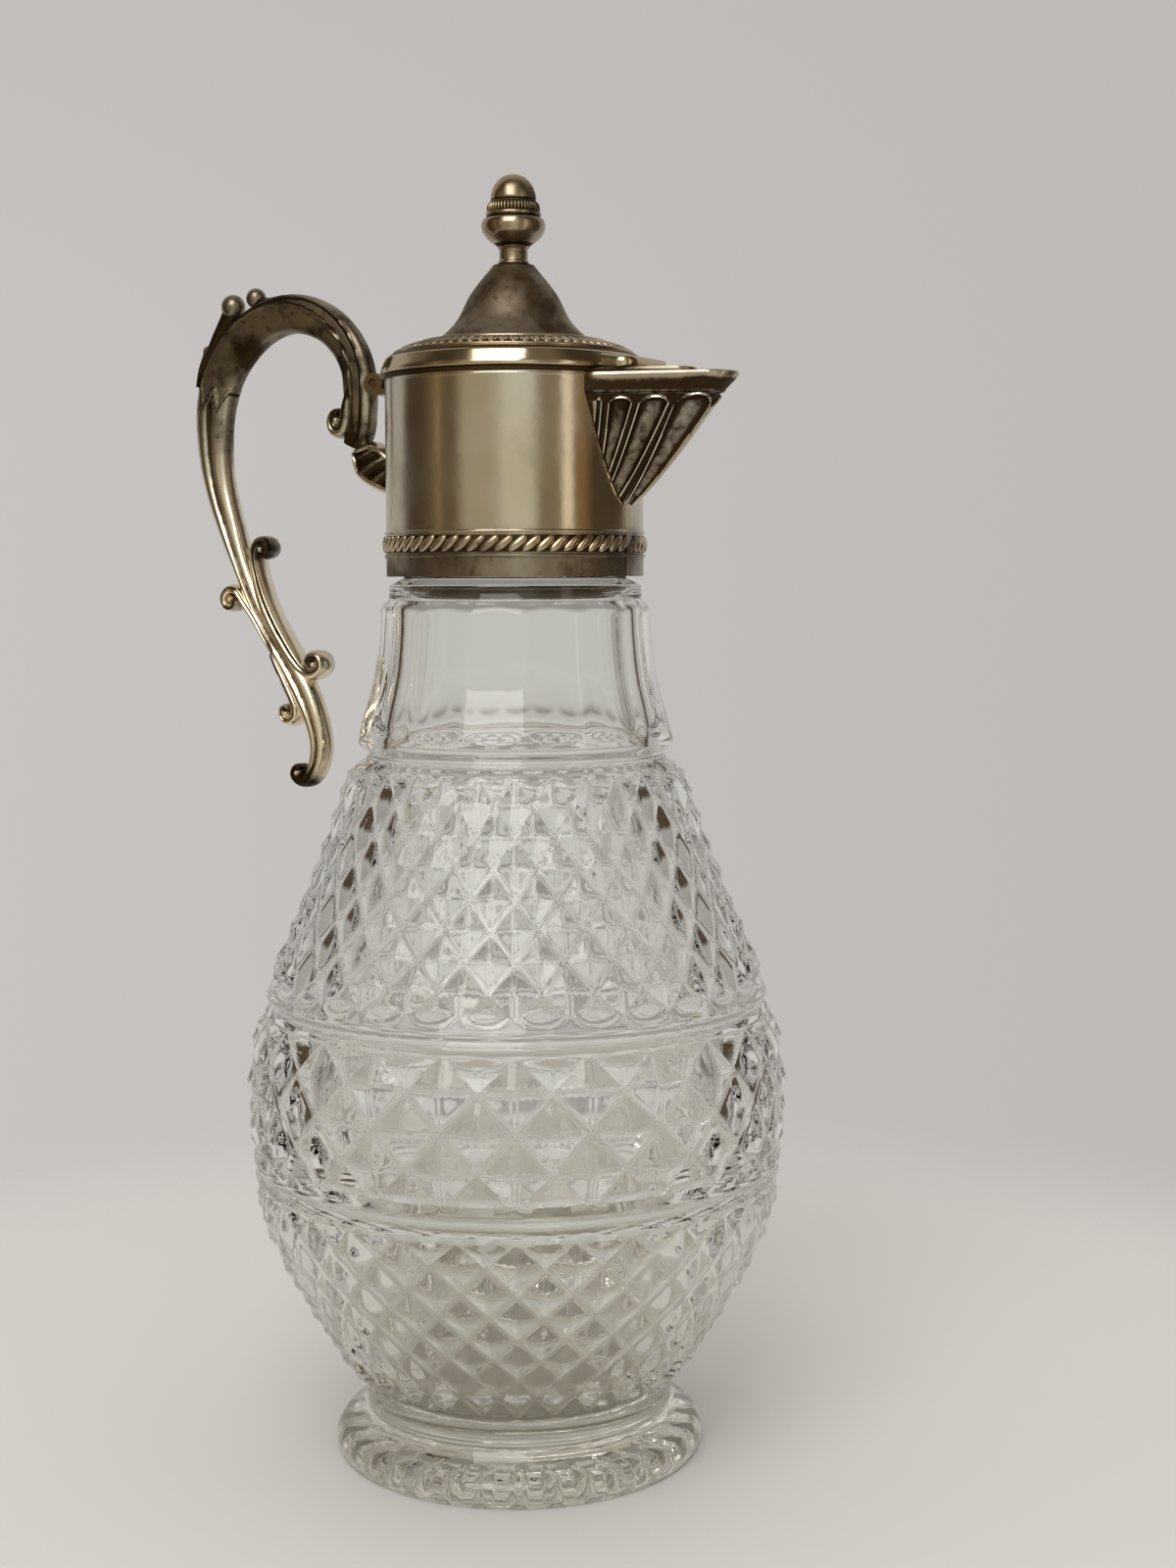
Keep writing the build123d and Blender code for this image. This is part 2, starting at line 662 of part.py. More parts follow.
# Foot, its rays and the smooth bands between the fields
with BuildPart() as glass_foot:
    with BuildSketch(Plane.XZ):
        with BuildLine():
            foot_edge = (FOOT_RADIUS - FOOT_EDGE_INSET, FOOT_EDGE_HEIGHT)
            Polyline((0, LOWER_FIELD_BASE + BAND_TUCK_HEIGHT), (0, 0), (FOOT_RADIUS - FOOT_UNDERCUT, 0))
            ThreePointArc(
                (FOOT_RADIUS - FOOT_UNDERCUT, 0),
                (FOOT_RADIUS, FOOT_BULGE_HEIGHT),
                foot_edge,
            )
            Spline(
                foot_edge,
                (WAIST_RADIUS, WAIST_HEIGHT),
                (FIELD_START_RADIUS, LOWER_FIELD_BASE),
                tangents=((-1, 1), (0.45, 1)),
            )
            Polyline(
                (FIELD_START_RADIUS, LOWER_FIELD_BASE),
                (FIELD_START_RADIUS - BAND_TUCK_DEPTH, LOWER_FIELD_BASE + BAND_TUCK_HEIGHT),
                (0, LOWER_FIELD_BASE + BAND_TUCK_HEIGHT),
            )
        make_face()
    revolve(axis=Axis.Z)
    ray_run = FOOT_RADIUS - RAY_START_RADIUS
    with PolarLocations(RAY_START_RADIUS, RAY_COUNT, start_angle=GLASS_TURN):
        with Locations(Plane(origin=(0, 0, -RAY_RADIUS), z_dir=(ray_run, 0, RAY_DEPTH))):
            Cylinder(
                RAY_RADIUS,
                ray_run * 1.2,
                align=(Align.CENTER, Align.CENTER, Align.MIN),
                mode=Mode.SUBTRACT,
            )

with BuildPart() as lower_band:
    with BuildSketch(Plane.XZ):
        with BuildLine():
            low = LOWER_BAND_BASE
            high = MIDDLE_FIELD_BASE
            Polyline(
                (0, low - BAND_TUCK_HEIGHT),
                (LOWER_FIELD_TOP_RADIUS - BAND_TUCK_DEPTH, low - BAND_TUCK_HEIGHT),
                (LOWER_FIELD_TOP_RADIUS, low),
                (LOWER_RING_RADIUS - 0.3, low + 0.2 * LOWER_BAND_HEIGHT),
            )
            ThreePointArc(
                (LOWER_RING_RADIUS - 0.3, low + 0.2 * LOWER_BAND_HEIGHT),
                (LOWER_COVE_RADIUS, low + 0.4 * LOWER_BAND_HEIGHT),
                (LOWER_RING_RADIUS, low + 0.6 * LOWER_BAND_HEIGHT),
            )
            Polyline(
                (LOWER_RING_RADIUS, low + 0.6 * LOWER_BAND_HEIGHT),
                (LOWER_RING_RADIUS, low + 0.8 * LOWER_BAND_HEIGHT),
                (MIDDLE_FIELD_START_RADIUS, high),
                (MIDDLE_FIELD_START_RADIUS - BAND_TUCK_DEPTH, high + BAND_TUCK_HEIGHT),
                (0, high + BAND_TUCK_HEIGHT),
                (0, low - BAND_TUCK_HEIGHT),
            )
        make_face()
    revolve(axis=Axis.Z)

with BuildPart() as upper_band:
    with BuildSketch(Plane.XZ):
        with BuildLine():
            low = UPPER_BAND_BASE
            high = UPPER_FIELD_BASE
            Polyline(
                (0, low - BAND_TUCK_HEIGHT),
                (MIDDLE_FIELD_TOP_RADIUS - BAND_TUCK_DEPTH, low - BAND_TUCK_HEIGHT),
                (MIDDLE_FIELD_TOP_RADIUS, low),
                (UPPER_RING_RADIUS, low + 0.1 * UPPER_BAND_HEIGHT),
            )
            ThreePointArc(
                (UPPER_RING_RADIUS, low + 0.1 * UPPER_BAND_HEIGHT),
                (UPPER_COVE_RADIUS, low + 0.33 * UPPER_BAND_HEIGHT),
                (UPPER_RING_RADIUS - 0.1, low + 0.56 * UPPER_BAND_HEIGHT),
            )
            Polyline(
                (UPPER_RING_RADIUS - 0.1, low + 0.56 * UPPER_BAND_HEIGHT),
                (UPPER_FIELD_START_RADIUS, high),
                (UPPER_FIELD_START_RADIUS - BAND_TUCK_DEPTH, high + BAND_TUCK_HEIGHT),
                (0, high + BAND_TUCK_HEIGHT),
                (0, low - BAND_TUCK_HEIGHT),
            )
        make_face()
    revolve(axis=Axis.Z)

# Glass body: the turned lengths, the three cut fields and the hollow
lower_field = diamond_belt(lower_curve, FINE_DIAMOND_ROWS, FINE_DIAMONDS_AROUND, FINE_DIAMOND_DEPTH)
middle_field = diamond_belt(
    middle_curve, BROAD_DIAMOND_ROWS, BROAD_DIAMONDS_AROUND, BROAD_DIAMOND_DEPTH
)
upper_field = diamond_belt(upper_curve, FINE_DIAMOND_ROWS, FINE_DIAMONDS_AROUND, FINE_DIAMOND_DEPTH)

with BuildPart() as glass_body:
    add(glass_foot.part)
    add(lower_field)
    add(lower_band.part)
    add(middle_field)
    add(upper_band.part)
    add(upper_field)
    add(glass_neck.part)
    add(hollow.part, mode=Mode.SUBTRACT)
glass_body.part.label = "glass_body"
export_step(glass_body.part, "parts/glass_body.step")

# Plaster bedding between the glass stem and the mount
with BuildPart() as plaster_bedding:
    with BuildSketch(Plane.XY.offset(MOUNT_BASE)):
        Circle(MOUNT_BORE_RADIUS - BEDDING_GAP)
        Circle(STEM_RADIUS + BEDDING_GAP, mode=Mode.SUBTRACT)
    extrude(amount=STEM_TOP - MOUNT_BASE)
plaster_bedding.part.label = "plaster_bedding"
export_step(plaster_bedding.part, "parts/plaster_bedding.step")

# Inside of the spout and of its lip, which is also the way into the mount
with BuildPart() as channel:
    for share in SPOUT_STEPS[1:]:
        add(spout_sketch(share, SPOUT_WALL))
    loft()
    extrude(spout_sketch(1.0, SPOUT_WALL), amount=LIP_HEIGHT + 1, dir=(0, 0, 1))

# Mount: the tube, its soldered seam and the opening into the spout
with BuildPart() as neck_mount:
    with BuildSketch(Plane.XY.offset(MOUNT_BASE)):
        Circle(MOUNT_RADIUS)
        Circle(MOUNT_BORE_RADIUS, mode=Mode.SUBTRACT)
    extrude(amount=MOUNT_HEIGHT)
    with BuildSketch(Plane.XY.offset(MOUNT_BASE)) as seam:
        with Locations((MOUNT_RADIUS - MOUNT_WALL / 2, 0)):
            Rectangle(MOUNT_WALL / 2 + SEAM_PROUD, SEAM_WIDTH, align=(Align.MIN, Align.CENTER))
        fillet(seam.vertices().group_by(Axis.X)[-1], 0.6 * SEAM_PROUD)
    extrude(amount=SEAM_HEIGHT)
    add(channel.part, mode=Mode.SUBTRACT)
neck_mount.part.label = "neck_mount"
export_step(neck_mount.part, "parts/neck_mount.step")

# The two plain wires and the rope band between them, soldered round the mount
lower_wire = open_ring(MOUNT_BASE + LOWER_WIRE_RISE, LOWER_WIRE_HEIGHT, WIRE_PROUD)
lower_wire.label = "lower_wire"
export_step(lower_wire, "parts/lower_wire.step")

rope_band = open_ring(MOUNT_BASE + ROPE_RISE, ROPE_HEIGHT, ROPE_PROUD)
rope_band.label = "rope_band"
export_step(rope_band, "parts/rope_band.step")

upper_wire = open_ring(MOUNT_BASE + UPPER_WIRE_RISE, UPPER_WIRE_HEIGHT, WIRE_PROUD)
upper_wire.label = "upper_wire"
export_step(upper_wire, "parts/upper_wire.step")

# Spout: a tapering beak with eight flutes, each running down to the mount
flute_tools = [flank_flute(*sizes) for sizes in FLUTES]
with BuildPart() as spout:
    for share in SPOUT_STEPS:
        add(spout_sketch(share))
    loft()
    for tool in flute_tools:
        add(tool, mode=Mode.SUBTRACT)
        add(mirror(tool, about=Plane.XZ, mode=Mode.PRIVATE), mode=Mode.SUBTRACT)
    add(channel.part, mode=Mode.SUBTRACT)
    with BuildSketch(Plane.XY.offset(MOUNT_BASE)):
        Circle(MOUNT_RADIUS + SPOUT_SEAT_GAP)
    extrude(amount=MOUNT_HEIGHT, mode=Mode.SUBTRACT)
spout.part.label = "spout"
export_step(spout.part, "parts/spout.step")

# Flared lip round the top of the spout
lip_top = MOUNT_TOP - LIP_EDGE_HEIGHT
half_width, tip, nose_radius = spout_outline(1.0)
inner_width, inner_tip, inner_radius = spout_outline(1.0, SPOUT_WALL)
with BuildPart() as spout_lip:
    add(tongue_sketch(half_width, tip, nose_radius, LIP_BASE + SPOUT_SEAT_GAP))
    add(tongue_sketch(half_width, tip + LIP_FLARE, nose_radius + LIP_WIDEN, lip_top))
    loft(ruled=True)
    top_outline = tongue_sketch(half_width, tip + LIP_FLARE, nose_radius + LIP_WIDEN, lip_top)
    extrude(top_outline, amount=LIP_EDGE_HEIGHT, dir=(0, 0, 1))
    add(tongue_sketch(inner_width, inner_tip, inner_radius, LIP_BASE - SPOUT_SEAT_GAP))
    add(tongue_sketch(inner_width, inner_tip + LIP_FLARE, inner_radius + LIP_WIDEN, MOUNT_TOP + 0.5))
    loft(ruled=True, mode=Mode.SUBTRACT)
    with BuildSketch(Plane.XY.offset(MOUNT_BASE)):
        Circle(MOUNT_RADIUS + SPOUT_SEAT_GAP)
    extrude(amount=MOUNT_HEIGHT + 1, mode=Mode.SUBTRACT)
spout_lip.part.label = "spout_lip"
export_step(spout_lip.part, "parts/spout_lip.step")

# Fixed half of the hinge: a pad on the mount and the two outer knuckles
knuckle_offset = KNUCKLE_LENGTH + KNUCKLE_GAP
hinge_plane = Plane(origin=(HINGE_X, 0, HINGE_Z), x_dir=(1, 0, 0), z_dir=(0, -1, 0))
with BuildPart() as hinge_leaf:
    with BuildSketch(Plane.XY.offset(MOUNT_TOP - LEAF_MARGIN - LEAF_HEIGHT)):
        Circle(MOUNT_RADIUS + SPOUT_SEAT_GAP + LEAF_THICKNESS)
        Circle(MOUNT_RADIUS + SPOUT_SEAT_GAP, mode=Mode.SUBTRACT)
        with Locations((-MOUNT_RADIUS, 0)):
            Rectangle(4 * HINGE_REACH, HINGE_LENGTH, mode=Mode.INTERSECT)
    extrude(amount=LEAF_HEIGHT)
    for side in (-1, 1):
        with BuildSketch(hinge_plane.offset(side * knuckle_offset)):
            Circle(KNUCKLE_RADIUS)
            with Locations((0, -KNUCKLE_RADIUS)):
                Rectangle(
                    HINGE_REACH - 0.5 * LEAF_THICKNESS,
                    LEAF_ARM_THICKNESS,
                    align=(Align.MIN, Align.MIN),
                )
        extrude(amount=KNUCKLE_LENGTH / 2, both=True)
    with BuildSketch(hinge_plane):
        Circle(PIN_RADIUS + PIN_FIT)
    extrude(amount=HINGE_LENGTH, both=True, mode=Mode.SUBTRACT)
hinge_leaf.part.label = "hinge_leaf"
export_step(hinge_leaf.part, "parts/hinge_leaf.step")

# Hinge pin
with BuildPart() as hinge_pin:
    with BuildSketch(hinge_plane):
        Circle(PIN_RADIUS)
    extrude(amount=HINGE_LENGTH / 2 - PIN_INSET, both=True)
hinge_pin.part.label = "hinge_pin"
export_step(hinge_pin.part, "parts/hinge_pin.step")

# Handle: the shank with its arch, the curling leaves, the beads and the leaf at the root
leaf_tools = [leaf_strip(leaf) for leaf in HANDLE_LEAVES]
with BuildPart() as handle:
    for index in range(len(HANDLE_STATIONS)):
        add(handle_section(index))
    loft()
    for tool in leaf_tools:
        add(tool)
    for outward, rise, radius, half in CURL_EYES:
        centre = handle_point(outward, rise)
        with BuildSketch(Plane.XZ):
            with Locations((centre.X, centre.Z)):
                Circle(radius)
        extrude(amount=half, both=True)
    for outward, rise, radius, foot_outward, foot_rise, foot_radius in HANDLE_BEADS:
        centre = handle_point(outward, rise)
        foot = handle_point(foot_outward, foot_rise)
        with Locations(centre):
            Sphere(radius)
        with Locations(Plane(origin=centre, z_dir=foot - centre)):
            Cone(
                0.8 * radius,
                foot_radius,
                (foot - centre).length,
                align=(Align.CENTER, Align.CENTER, Align.MIN),
            )
    root_sections = (
        (-2.0, ROOT_RISE, ROOT_HALF_HEIGHT, ROOT_HALF_WIDTH),
        (2.5, ROOT_RISE, ROOT_HALF_HEIGHT, ROOT_HALF_WIDTH),
        ROOT_SWELL,
        ROOT_TIP,
    )
    for index, (outward, rise, half_height, half_width) in enumerate(root_sections):
        ahead = root_sections[min(index + 1, len(root_sections) - 1)]
        behind = root_sections[max(index - 1, 0)]
        along = handle_point(*ahead[:2]) - handle_point(*behind[:2])
        centre = handle_point(outward, rise)
        with BuildSketch(Plane(origin=centre, x_dir=(-along.Z, 0, along.X), z_dir=along)):
            Ellipse(half_height, half_width)
    loft()
    with BuildSketch(Plane.XY.offset(MOUNT_BASE)):
        Circle(MOUNT_RADIUS + SPOUT_SEAT_GAP)
    extrude(amount=MOUNT_HEIGHT, mode=Mode.SUBTRACT)
handle.part.label = "handle"
export_step(handle.part, "parts/handle.step")

# Under-plate of the lid, with the tongue that covers the spout
with BuildPart() as lid_plate:
    with BuildSketch(Plane.XY.offset(PLATE_BASE)):
        Circle(PLATE_RADIUS)
    extrude(amount=PLATE_THICKNESS)
    tongue = tongue_sketch(
        PLATE_TONGUE_HALF_WIDTH, PLATE_TONGUE_REACH, PLATE_TONGUE_NOSE_RADIUS, PLATE_BASE
    )
    extrude(tongue, amount=PLATE_THICKNESS, dir=(0, 0, 1))
    with BuildSketch(Plane.XY.offset(PLATE_BASE)):
        Circle(PLATE_BORE_RADIUS)
    extrude(amount=PLATE_THICKNESS, mode=Mode.SUBTRACT)
lid_plate.part.label = "lid_plate"
export_step(lid_plate.part, "parts/lid_plate.step")

# Hollow of the lid
with BuildPart() as lid_hollow:
    inside = lid_profile(LID_WALL)
    with BuildSketch(Plane.XZ):
        with BuildLine():
            Polyline(
                (0, LID_BASE - 1),
                (LID_RADIUS - LID_WALL, LID_BASE - 1),
                (LID_RADIUS - LID_WALL, LID_BASE + LID_RIM_HEIGHT - 0.6 * LID_WALL),
                inside[0],
                inside[1],
            )
            Spline(inside[1:-1] + [(BELL_TOP_RADIUS - 0.5 * LID_WALL, CROWN_TOP - BELL_CROWN_THICKNESS)])
            Polyline(
                (BELL_TOP_RADIUS - 0.5 * LID_WALL, CROWN_TOP - BELL_CROWN_THICKNESS),
                (0, CROWN_TOP - BELL_CROWN_THICKNESS),
                (0, LID_BASE - 1),
            )
        make_face()
    revolve(axis=Axis.Z)

# Domed lid with its bell and its short tongue
with BuildPart() as lid_shell:
    outside = lid_profile(0.0)
    with BuildSketch(Plane.XZ):
        with BuildLine():
            rim_top = LID_BASE + LID_RIM_HEIGHT
            Polyline((0, LID_BASE), (LID_RADIUS, LID_BASE), (LID_RADIUS, rim_top))
            Spline((LID_RADIUS, rim_top), outside[0], tangents=((0, 1), (-1, 0.36)))
            Line(outside[0], outside[1])
            Spline(outside[1:])
            Polyline(outside[-1], (0, CROWN_TOP), (0, LID_BASE))
        make_face()
    revolve(axis=Axis.Z)
    with BuildSketch(Plane.XY.offset(LID_BASE)) as short_tongue:
        with Locations((LID_TONGUE_REACH, 0)):
            Rectangle(
                LID_TONGUE_REACH - LID_RADIUS * 0.8,
                2 * LID_TONGUE_HALF_WIDTH,
                align=(Align.MAX, Align.CENTER),
            )
        fillet(short_tongue.vertices().group_by(Axis.X)[-1], LID_TONGUE_ROUND)
    extrude(amount=LID_TONGUE_THICKNESS)
    add(lid_hollow.part, mode=Mode.SUBTRACT)
    with BuildSketch(Plane.XY.offset(CROWN_TOP)):
        Circle(STUD_RADIUS + STUD_CLEARANCE)
    extrude(amount=-2 * BELL_CROWN_THICKNESS, mode=Mode.SUBTRACT)
lid_shell.part.label = "lid_shell"
export_step(lid_shell.part, "parts/lid_shell.step")

# Gadrooned border ring on the lid's slope
with BuildPart() as lid_border:
    outer_end, inner_end = outside[0], outside[1]
    run = hypot(inner_end[0] - outer_end[0], inner_end[1] - outer_end[1])
    slope = ((inner_end[0] - outer_end[0]) / run, (inner_end[1] - outer_end[1]) / run)
    lift = (slope[1], -slope[0])

    def border_point(along, height):
        """Point of the border's section, along the slope and above it."""
        radius = outer_end[0] + slope[0] * along + lift[0] * height
        return (radius, outer_end[1] + slope[1] * along + lift[1] * height)

    with BuildSketch(Plane.XZ):
        with BuildLine():
            start_point = border_point(BORDER_MARGIN, BORDER_GAP)
            end_point = border_point(run - BORDER_MARGIN, BORDER_GAP)
            Line(start_point, end_point)
            ThreePointArc(end_point, border_point(0.5 * run, BORDER_HEIGHT), start_point)
        make_face()
    revolve(axis=Axis.Z)
lid_border.part.label = "lid_border"
export_step(lid_border.part, "parts/lid_border.step")

# Moving half of the hinge: the middle knuckle, its strap and the pad on the lid's rim
with BuildPart() as lid_knuckle:
    with BuildSketch(hinge_plane):
        Circle(KNUCKLE_RADIUS)
        with Locations((0, KNUCKLE_RADIUS)):
            Rectangle(HINGE_REACH, STRAP_THICKNESS, align=(Align.MIN, Align.MAX))
    extrude(amount=KNUCKLE_LENGTH / 2, both=True)
    with BuildSketch(Plane.XY.offset(LID_BASE + STRAP_LAP / 2)):
        Circle(LID_RADIUS + SPOUT_SEAT_GAP + LEAF_THICKNESS)
        with Locations((-LID_RADIUS, 0)):
            Rectangle(4 * HINGE_REACH, 2.4 * KNUCKLE_LENGTH, mode=Mode.INTERSECT)
    extrude(amount=LID_RIM_HEIGHT - STRAP_LAP)
    with BuildSketch(Plane.XY.offset(LID_BASE - 2 * HINGE_REACH)):
        Circle(LID_RADIUS + SPOUT_SEAT_GAP)
    extrude(amount=4 * HINGE_REACH, mode=Mode.SUBTRACT)
    with BuildSketch(hinge_plane):
        Circle(PIN_RADIUS + PIN_CLEARANCE)
    extrude(amount=HINGE_LENGTH, both=True, mode=Mode.SUBTRACT)
lid_knuckle.part.label = "lid_knuckle"
export_step(lid_knuckle.part, "parts/lid_knuckle.step")

# Acorn finial, with the stud that passes through the lid's crown
cup_base = FINIAL_BASE + FINIAL_STEM_HEIGHT
band_base = cup_base + ACORN_CUP_HEIGHT
nut_base = band_base + ACORN_BAND_HEIGHT
with BuildPart() as finial:
    with BuildSketch(Plane.XZ):
        with BuildLine():
            Polyline((0, nut_base + ACORN_NUT_HEIGHT), (0, FINIAL_BASE - STUD_LENGTH))
            Polyline(
                (0, FINIAL_BASE - STUD_LENGTH),
                (STUD_RADIUS, FINIAL_BASE - STUD_LENGTH),
                (STUD_RADIUS, FINIAL_BASE),
                (FINIAL_BASE_RADIUS, FINIAL_BASE),
            )
            ThreePointArc(
                (FINIAL_BASE_RADIUS, FINIAL_BASE),
                (FINIAL_STEM_RADIUS, FINIAL_BASE + 0.45 * FINIAL_STEM_HEIGHT),
                (FINIAL_BASE_RADIUS, cup_base),
            )
            Spline(
                (FINIAL_BASE_RADIUS, cup_base),
                (ACORN_CUP_RADIUS, cup_base + 0.7 * ACORN_CUP_HEIGHT),
                (0.9 * ACORN_CUP_RADIUS, band_base),
                tangents=((1, 0.25), (-0.4, 1)),
            )
            Polyline(
                (0.9 * ACORN_CUP_RADIUS, band_base),
                (ACORN_BAND_RADIUS, band_base),
                (ACORN_BAND_RADIUS - ACORN_BAND_TAPER, nut_base),
                (ACORN_NUT_RADIUS, nut_base),
            )
            Spline(
                (ACORN_NUT_RADIUS, nut_base),
                (0.72 * ACORN_NUT_RADIUS, nut_base + 0.58 * ACORN_NUT_HEIGHT),
                (0, nut_base + ACORN_NUT_HEIGHT),
                tangents=((-0.2, 1), (-1, 0.2)),
            )
        make_face()
    revolve(axis=Axis.Z)
finial.part.label = "finial"
export_step(finial.part, "parts/finial.step")

# Washer and nut that hold the finial from inside the bell
washer_top = CROWN_TOP - BELL_CROWN_THICKNESS - FINIAL_GAP
with BuildPart() as finial_washer:
    with BuildSketch(Plane.XY.offset(washer_top)):
        Circle(WASHER_RADIUS)
        Circle(STUD_RADIUS + STUD_CLEARANCE, mode=Mode.SUBTRACT)
    extrude(amount=-WASHER_THICKNESS)
finial_washer.part.label = "finial_washer"
export_step(finial_washer.part, "parts/finial_washer.step")

with BuildPart() as finial_nut:
    with BuildSketch(Plane.XY.offset(washer_top - WASHER_THICKNESS - FINIAL_GAP)):
        RegularPolygon(FINIAL_NUT_RADIUS, 6)
        Circle(STUD_RADIUS + PIN_FIT, mode=Mode.SUBTRACT)
    extrude(amount=-FINIAL_NUT_THICKNESS)
finial_nut.part.label = "finial_nut"
export_step(finial_nut.part, "parts/finial_nut.step")
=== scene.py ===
"""Crystal jug with a plated mount: its meshes, finishes, studio and camera.

Sizes are in millimetres and become metres when a mesh is made. +Z is up, the spout points
along +X and the hinge and the handle stand at -X.
"""

import logging
import math
from dataclasses import dataclass, field
from enum import Enum
from typing import Callable, Sequence

import bmesh
import bpy
from mathutils import Matrix, Vector


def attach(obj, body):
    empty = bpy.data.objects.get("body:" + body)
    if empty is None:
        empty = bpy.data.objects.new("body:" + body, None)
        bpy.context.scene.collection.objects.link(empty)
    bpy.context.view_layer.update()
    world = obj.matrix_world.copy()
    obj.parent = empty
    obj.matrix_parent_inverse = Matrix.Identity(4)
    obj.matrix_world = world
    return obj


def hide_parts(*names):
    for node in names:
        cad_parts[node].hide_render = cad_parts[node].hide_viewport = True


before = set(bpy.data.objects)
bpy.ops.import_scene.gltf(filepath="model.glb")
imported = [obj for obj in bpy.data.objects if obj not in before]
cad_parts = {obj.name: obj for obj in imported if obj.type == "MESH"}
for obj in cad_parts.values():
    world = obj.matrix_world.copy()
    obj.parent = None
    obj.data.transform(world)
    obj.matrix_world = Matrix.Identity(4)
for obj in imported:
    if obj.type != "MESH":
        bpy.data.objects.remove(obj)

log = logging.getLogger("jug")

MM = 0.001
MOUNT_RADIUS = 29.0
MOUNT_TOP = 244.4
Pair = tuple[float, float]
Point = tuple[float, float, float]
Triple = tuple[float, float, float]
Colour = tuple[float, float, float]
Quad = tuple[float, float, float, float]


class Body(Enum):
    """The two rigid bodies of the jug."""

    JUG = "jug"
    LID = "lid"


class Slot(Enum):
    """Material slots of the record that the detailed pieces use."""

    GLASS = "glass"
    SILVER = "silver_plate"


def mix(first: float, second: float, share: float) -> float:
    """Value between two values.

    Args:
        first: value at share 0.
        second: value at share 1.
        share: how far to go from the first to the second.

    Returns:
        The value at that share.
    """
    return first + (second - first) * share


def ease(value: float, low: float, high: float) -> float:
    """Smooth step from 0 at low to 1 at high."""
    share = min(max((value - low) / (high - low), 0.0), 1.0)
    return share * share * (3 - 2 * share)


def polar(radius: float, degrees: float, height: float) -> Point:
    """Place from its distance from the Z axis, its direction and its height."""
    angle = math.radians(degrees)
    return (radius * math.cos(angle), radius * math.sin(angle), height)


def wire_profile(radius: float, height: float, wide: float, tall: float) -> list[Pair]:
    """Oval profile of a wire that runs round the Z axis, from its middle and half sizes."""
    turns = [2 * math.pi * number / 12 for number in range(12)]
    return [(radius + wide * math.cos(turn), height + tall * math.sin(turn)) for turn in turns]


def nose_angle(root_x: float, half_width: float, centre: float, nose: float) -> float:
    """Angle at which a straight flank from its root runs into a round nose, in radians."""
    lean = math.acos(min(nose / math.hypot(root_x - centre, half_width), 1.0))
    return math.atan2(half_width, root_x - centre) - lean


def across_path(path: Sequence[Sequence[float]], index: int) -> Pair:
    """Unit direction across a path at one of its places."""
    before, after = path[max(index - 1, 0)], path[min(index + 1, len(path) - 1)]
    run = max(math.dist(before[:2], after[:2]), 1e-6)
    return (-(after[1] - before[1]) / run, (after[0] - before[0]) / run)


def flow(knots: Sequence[Sequence[float]], count: int) -> list[tuple[float, ...]]:
    """Smooth open curve through knots.

    Args:
        knots: places that the curve passes through, each with any number of values.
        count: how many places to return, ends included.

    Returns:
        Places spaced evenly between the knots by chord length.
    """
    spans = [0.0]
    for before, after in zip(knots, knots[1:]):
        spans.append(spans[-1] + max(math.dist(before[:2], after[:2]), 1e-6))
    width = len(knots[0])
    slopes = []
    for index in range(len(knots)):
        low, high = max(index - 1, 0), min(index + 1, len(knots) - 1)
        step = spans[high] - spans[low]
        slopes.append([(knots[high][k] - knots[low][k]) / step for k in range(width)])
    places = []
    for number in range(count):
        along = spans[-1] * number / (count - 1)
        index = max(i for i in range(len(knots) - 1) if spans[i] <= along + 1e-9)
        step = spans[index + 1] - spans[index]
        t = (along - spans[index]) / step
        a, b = 2 * t**3 - 3 * t**2 + 1, t**3 - 2 * t**2 + t
        c, d = -2 * t**3 + 3 * t**2, t**3 - t**2
        ends = zip(knots[index], slopes[index], knots[index + 1], slopes[index + 1])
        places.append(tuple(a * p + b * step * u + c * q + d * step * v for p, u, q, v in ends))
    return places


def bow(start: Pair, start_pull: Pair, end_pull: Pair, end: Pair, count: int) -> list[Pair]:
    """Cubic curve between two places, pulled towards two others.

    Args:
        start: radius and height of its first place.
        start_pull: where it is pulled to after the start.
        end_pull: where it is pulled to before the end.
        end: radius and height of its last place.
        count: how many places to return, ends included.

    Returns:
        Evenly spaced places.
    """
    dense = []
    for number in range(401):
        t = number / 400
        a, b, c, d = (1 - t) ** 3, 3 * t * (1 - t) ** 2, 3 * t * t * (1 - t), t**3
        dense.append(tuple(a * start[k] + b * start_pull[k] + c * end_pull[k] + d * end[k] for k in (0, 1)))
    lengths = [0.0]
    for before, after in zip(dense, dense[1:]):
        lengths.append(lengths[-1] + math.dist(before, after))
    places = []
    cursor = 0
    for number in range(count):
        target = lengths[-1] * number / (count - 1)
        while cursor < 399 and lengths[cursor + 1] < target:
            cursor += 1
        t = (target - lengths[cursor]) / (lengths[cursor + 1] - lengths[cursor])
        before, after = dense[cursor], dense[cursor + 1]
        places.append((mix(before[0], after[0], t), mix(before[1], after[1], t)))
    return places


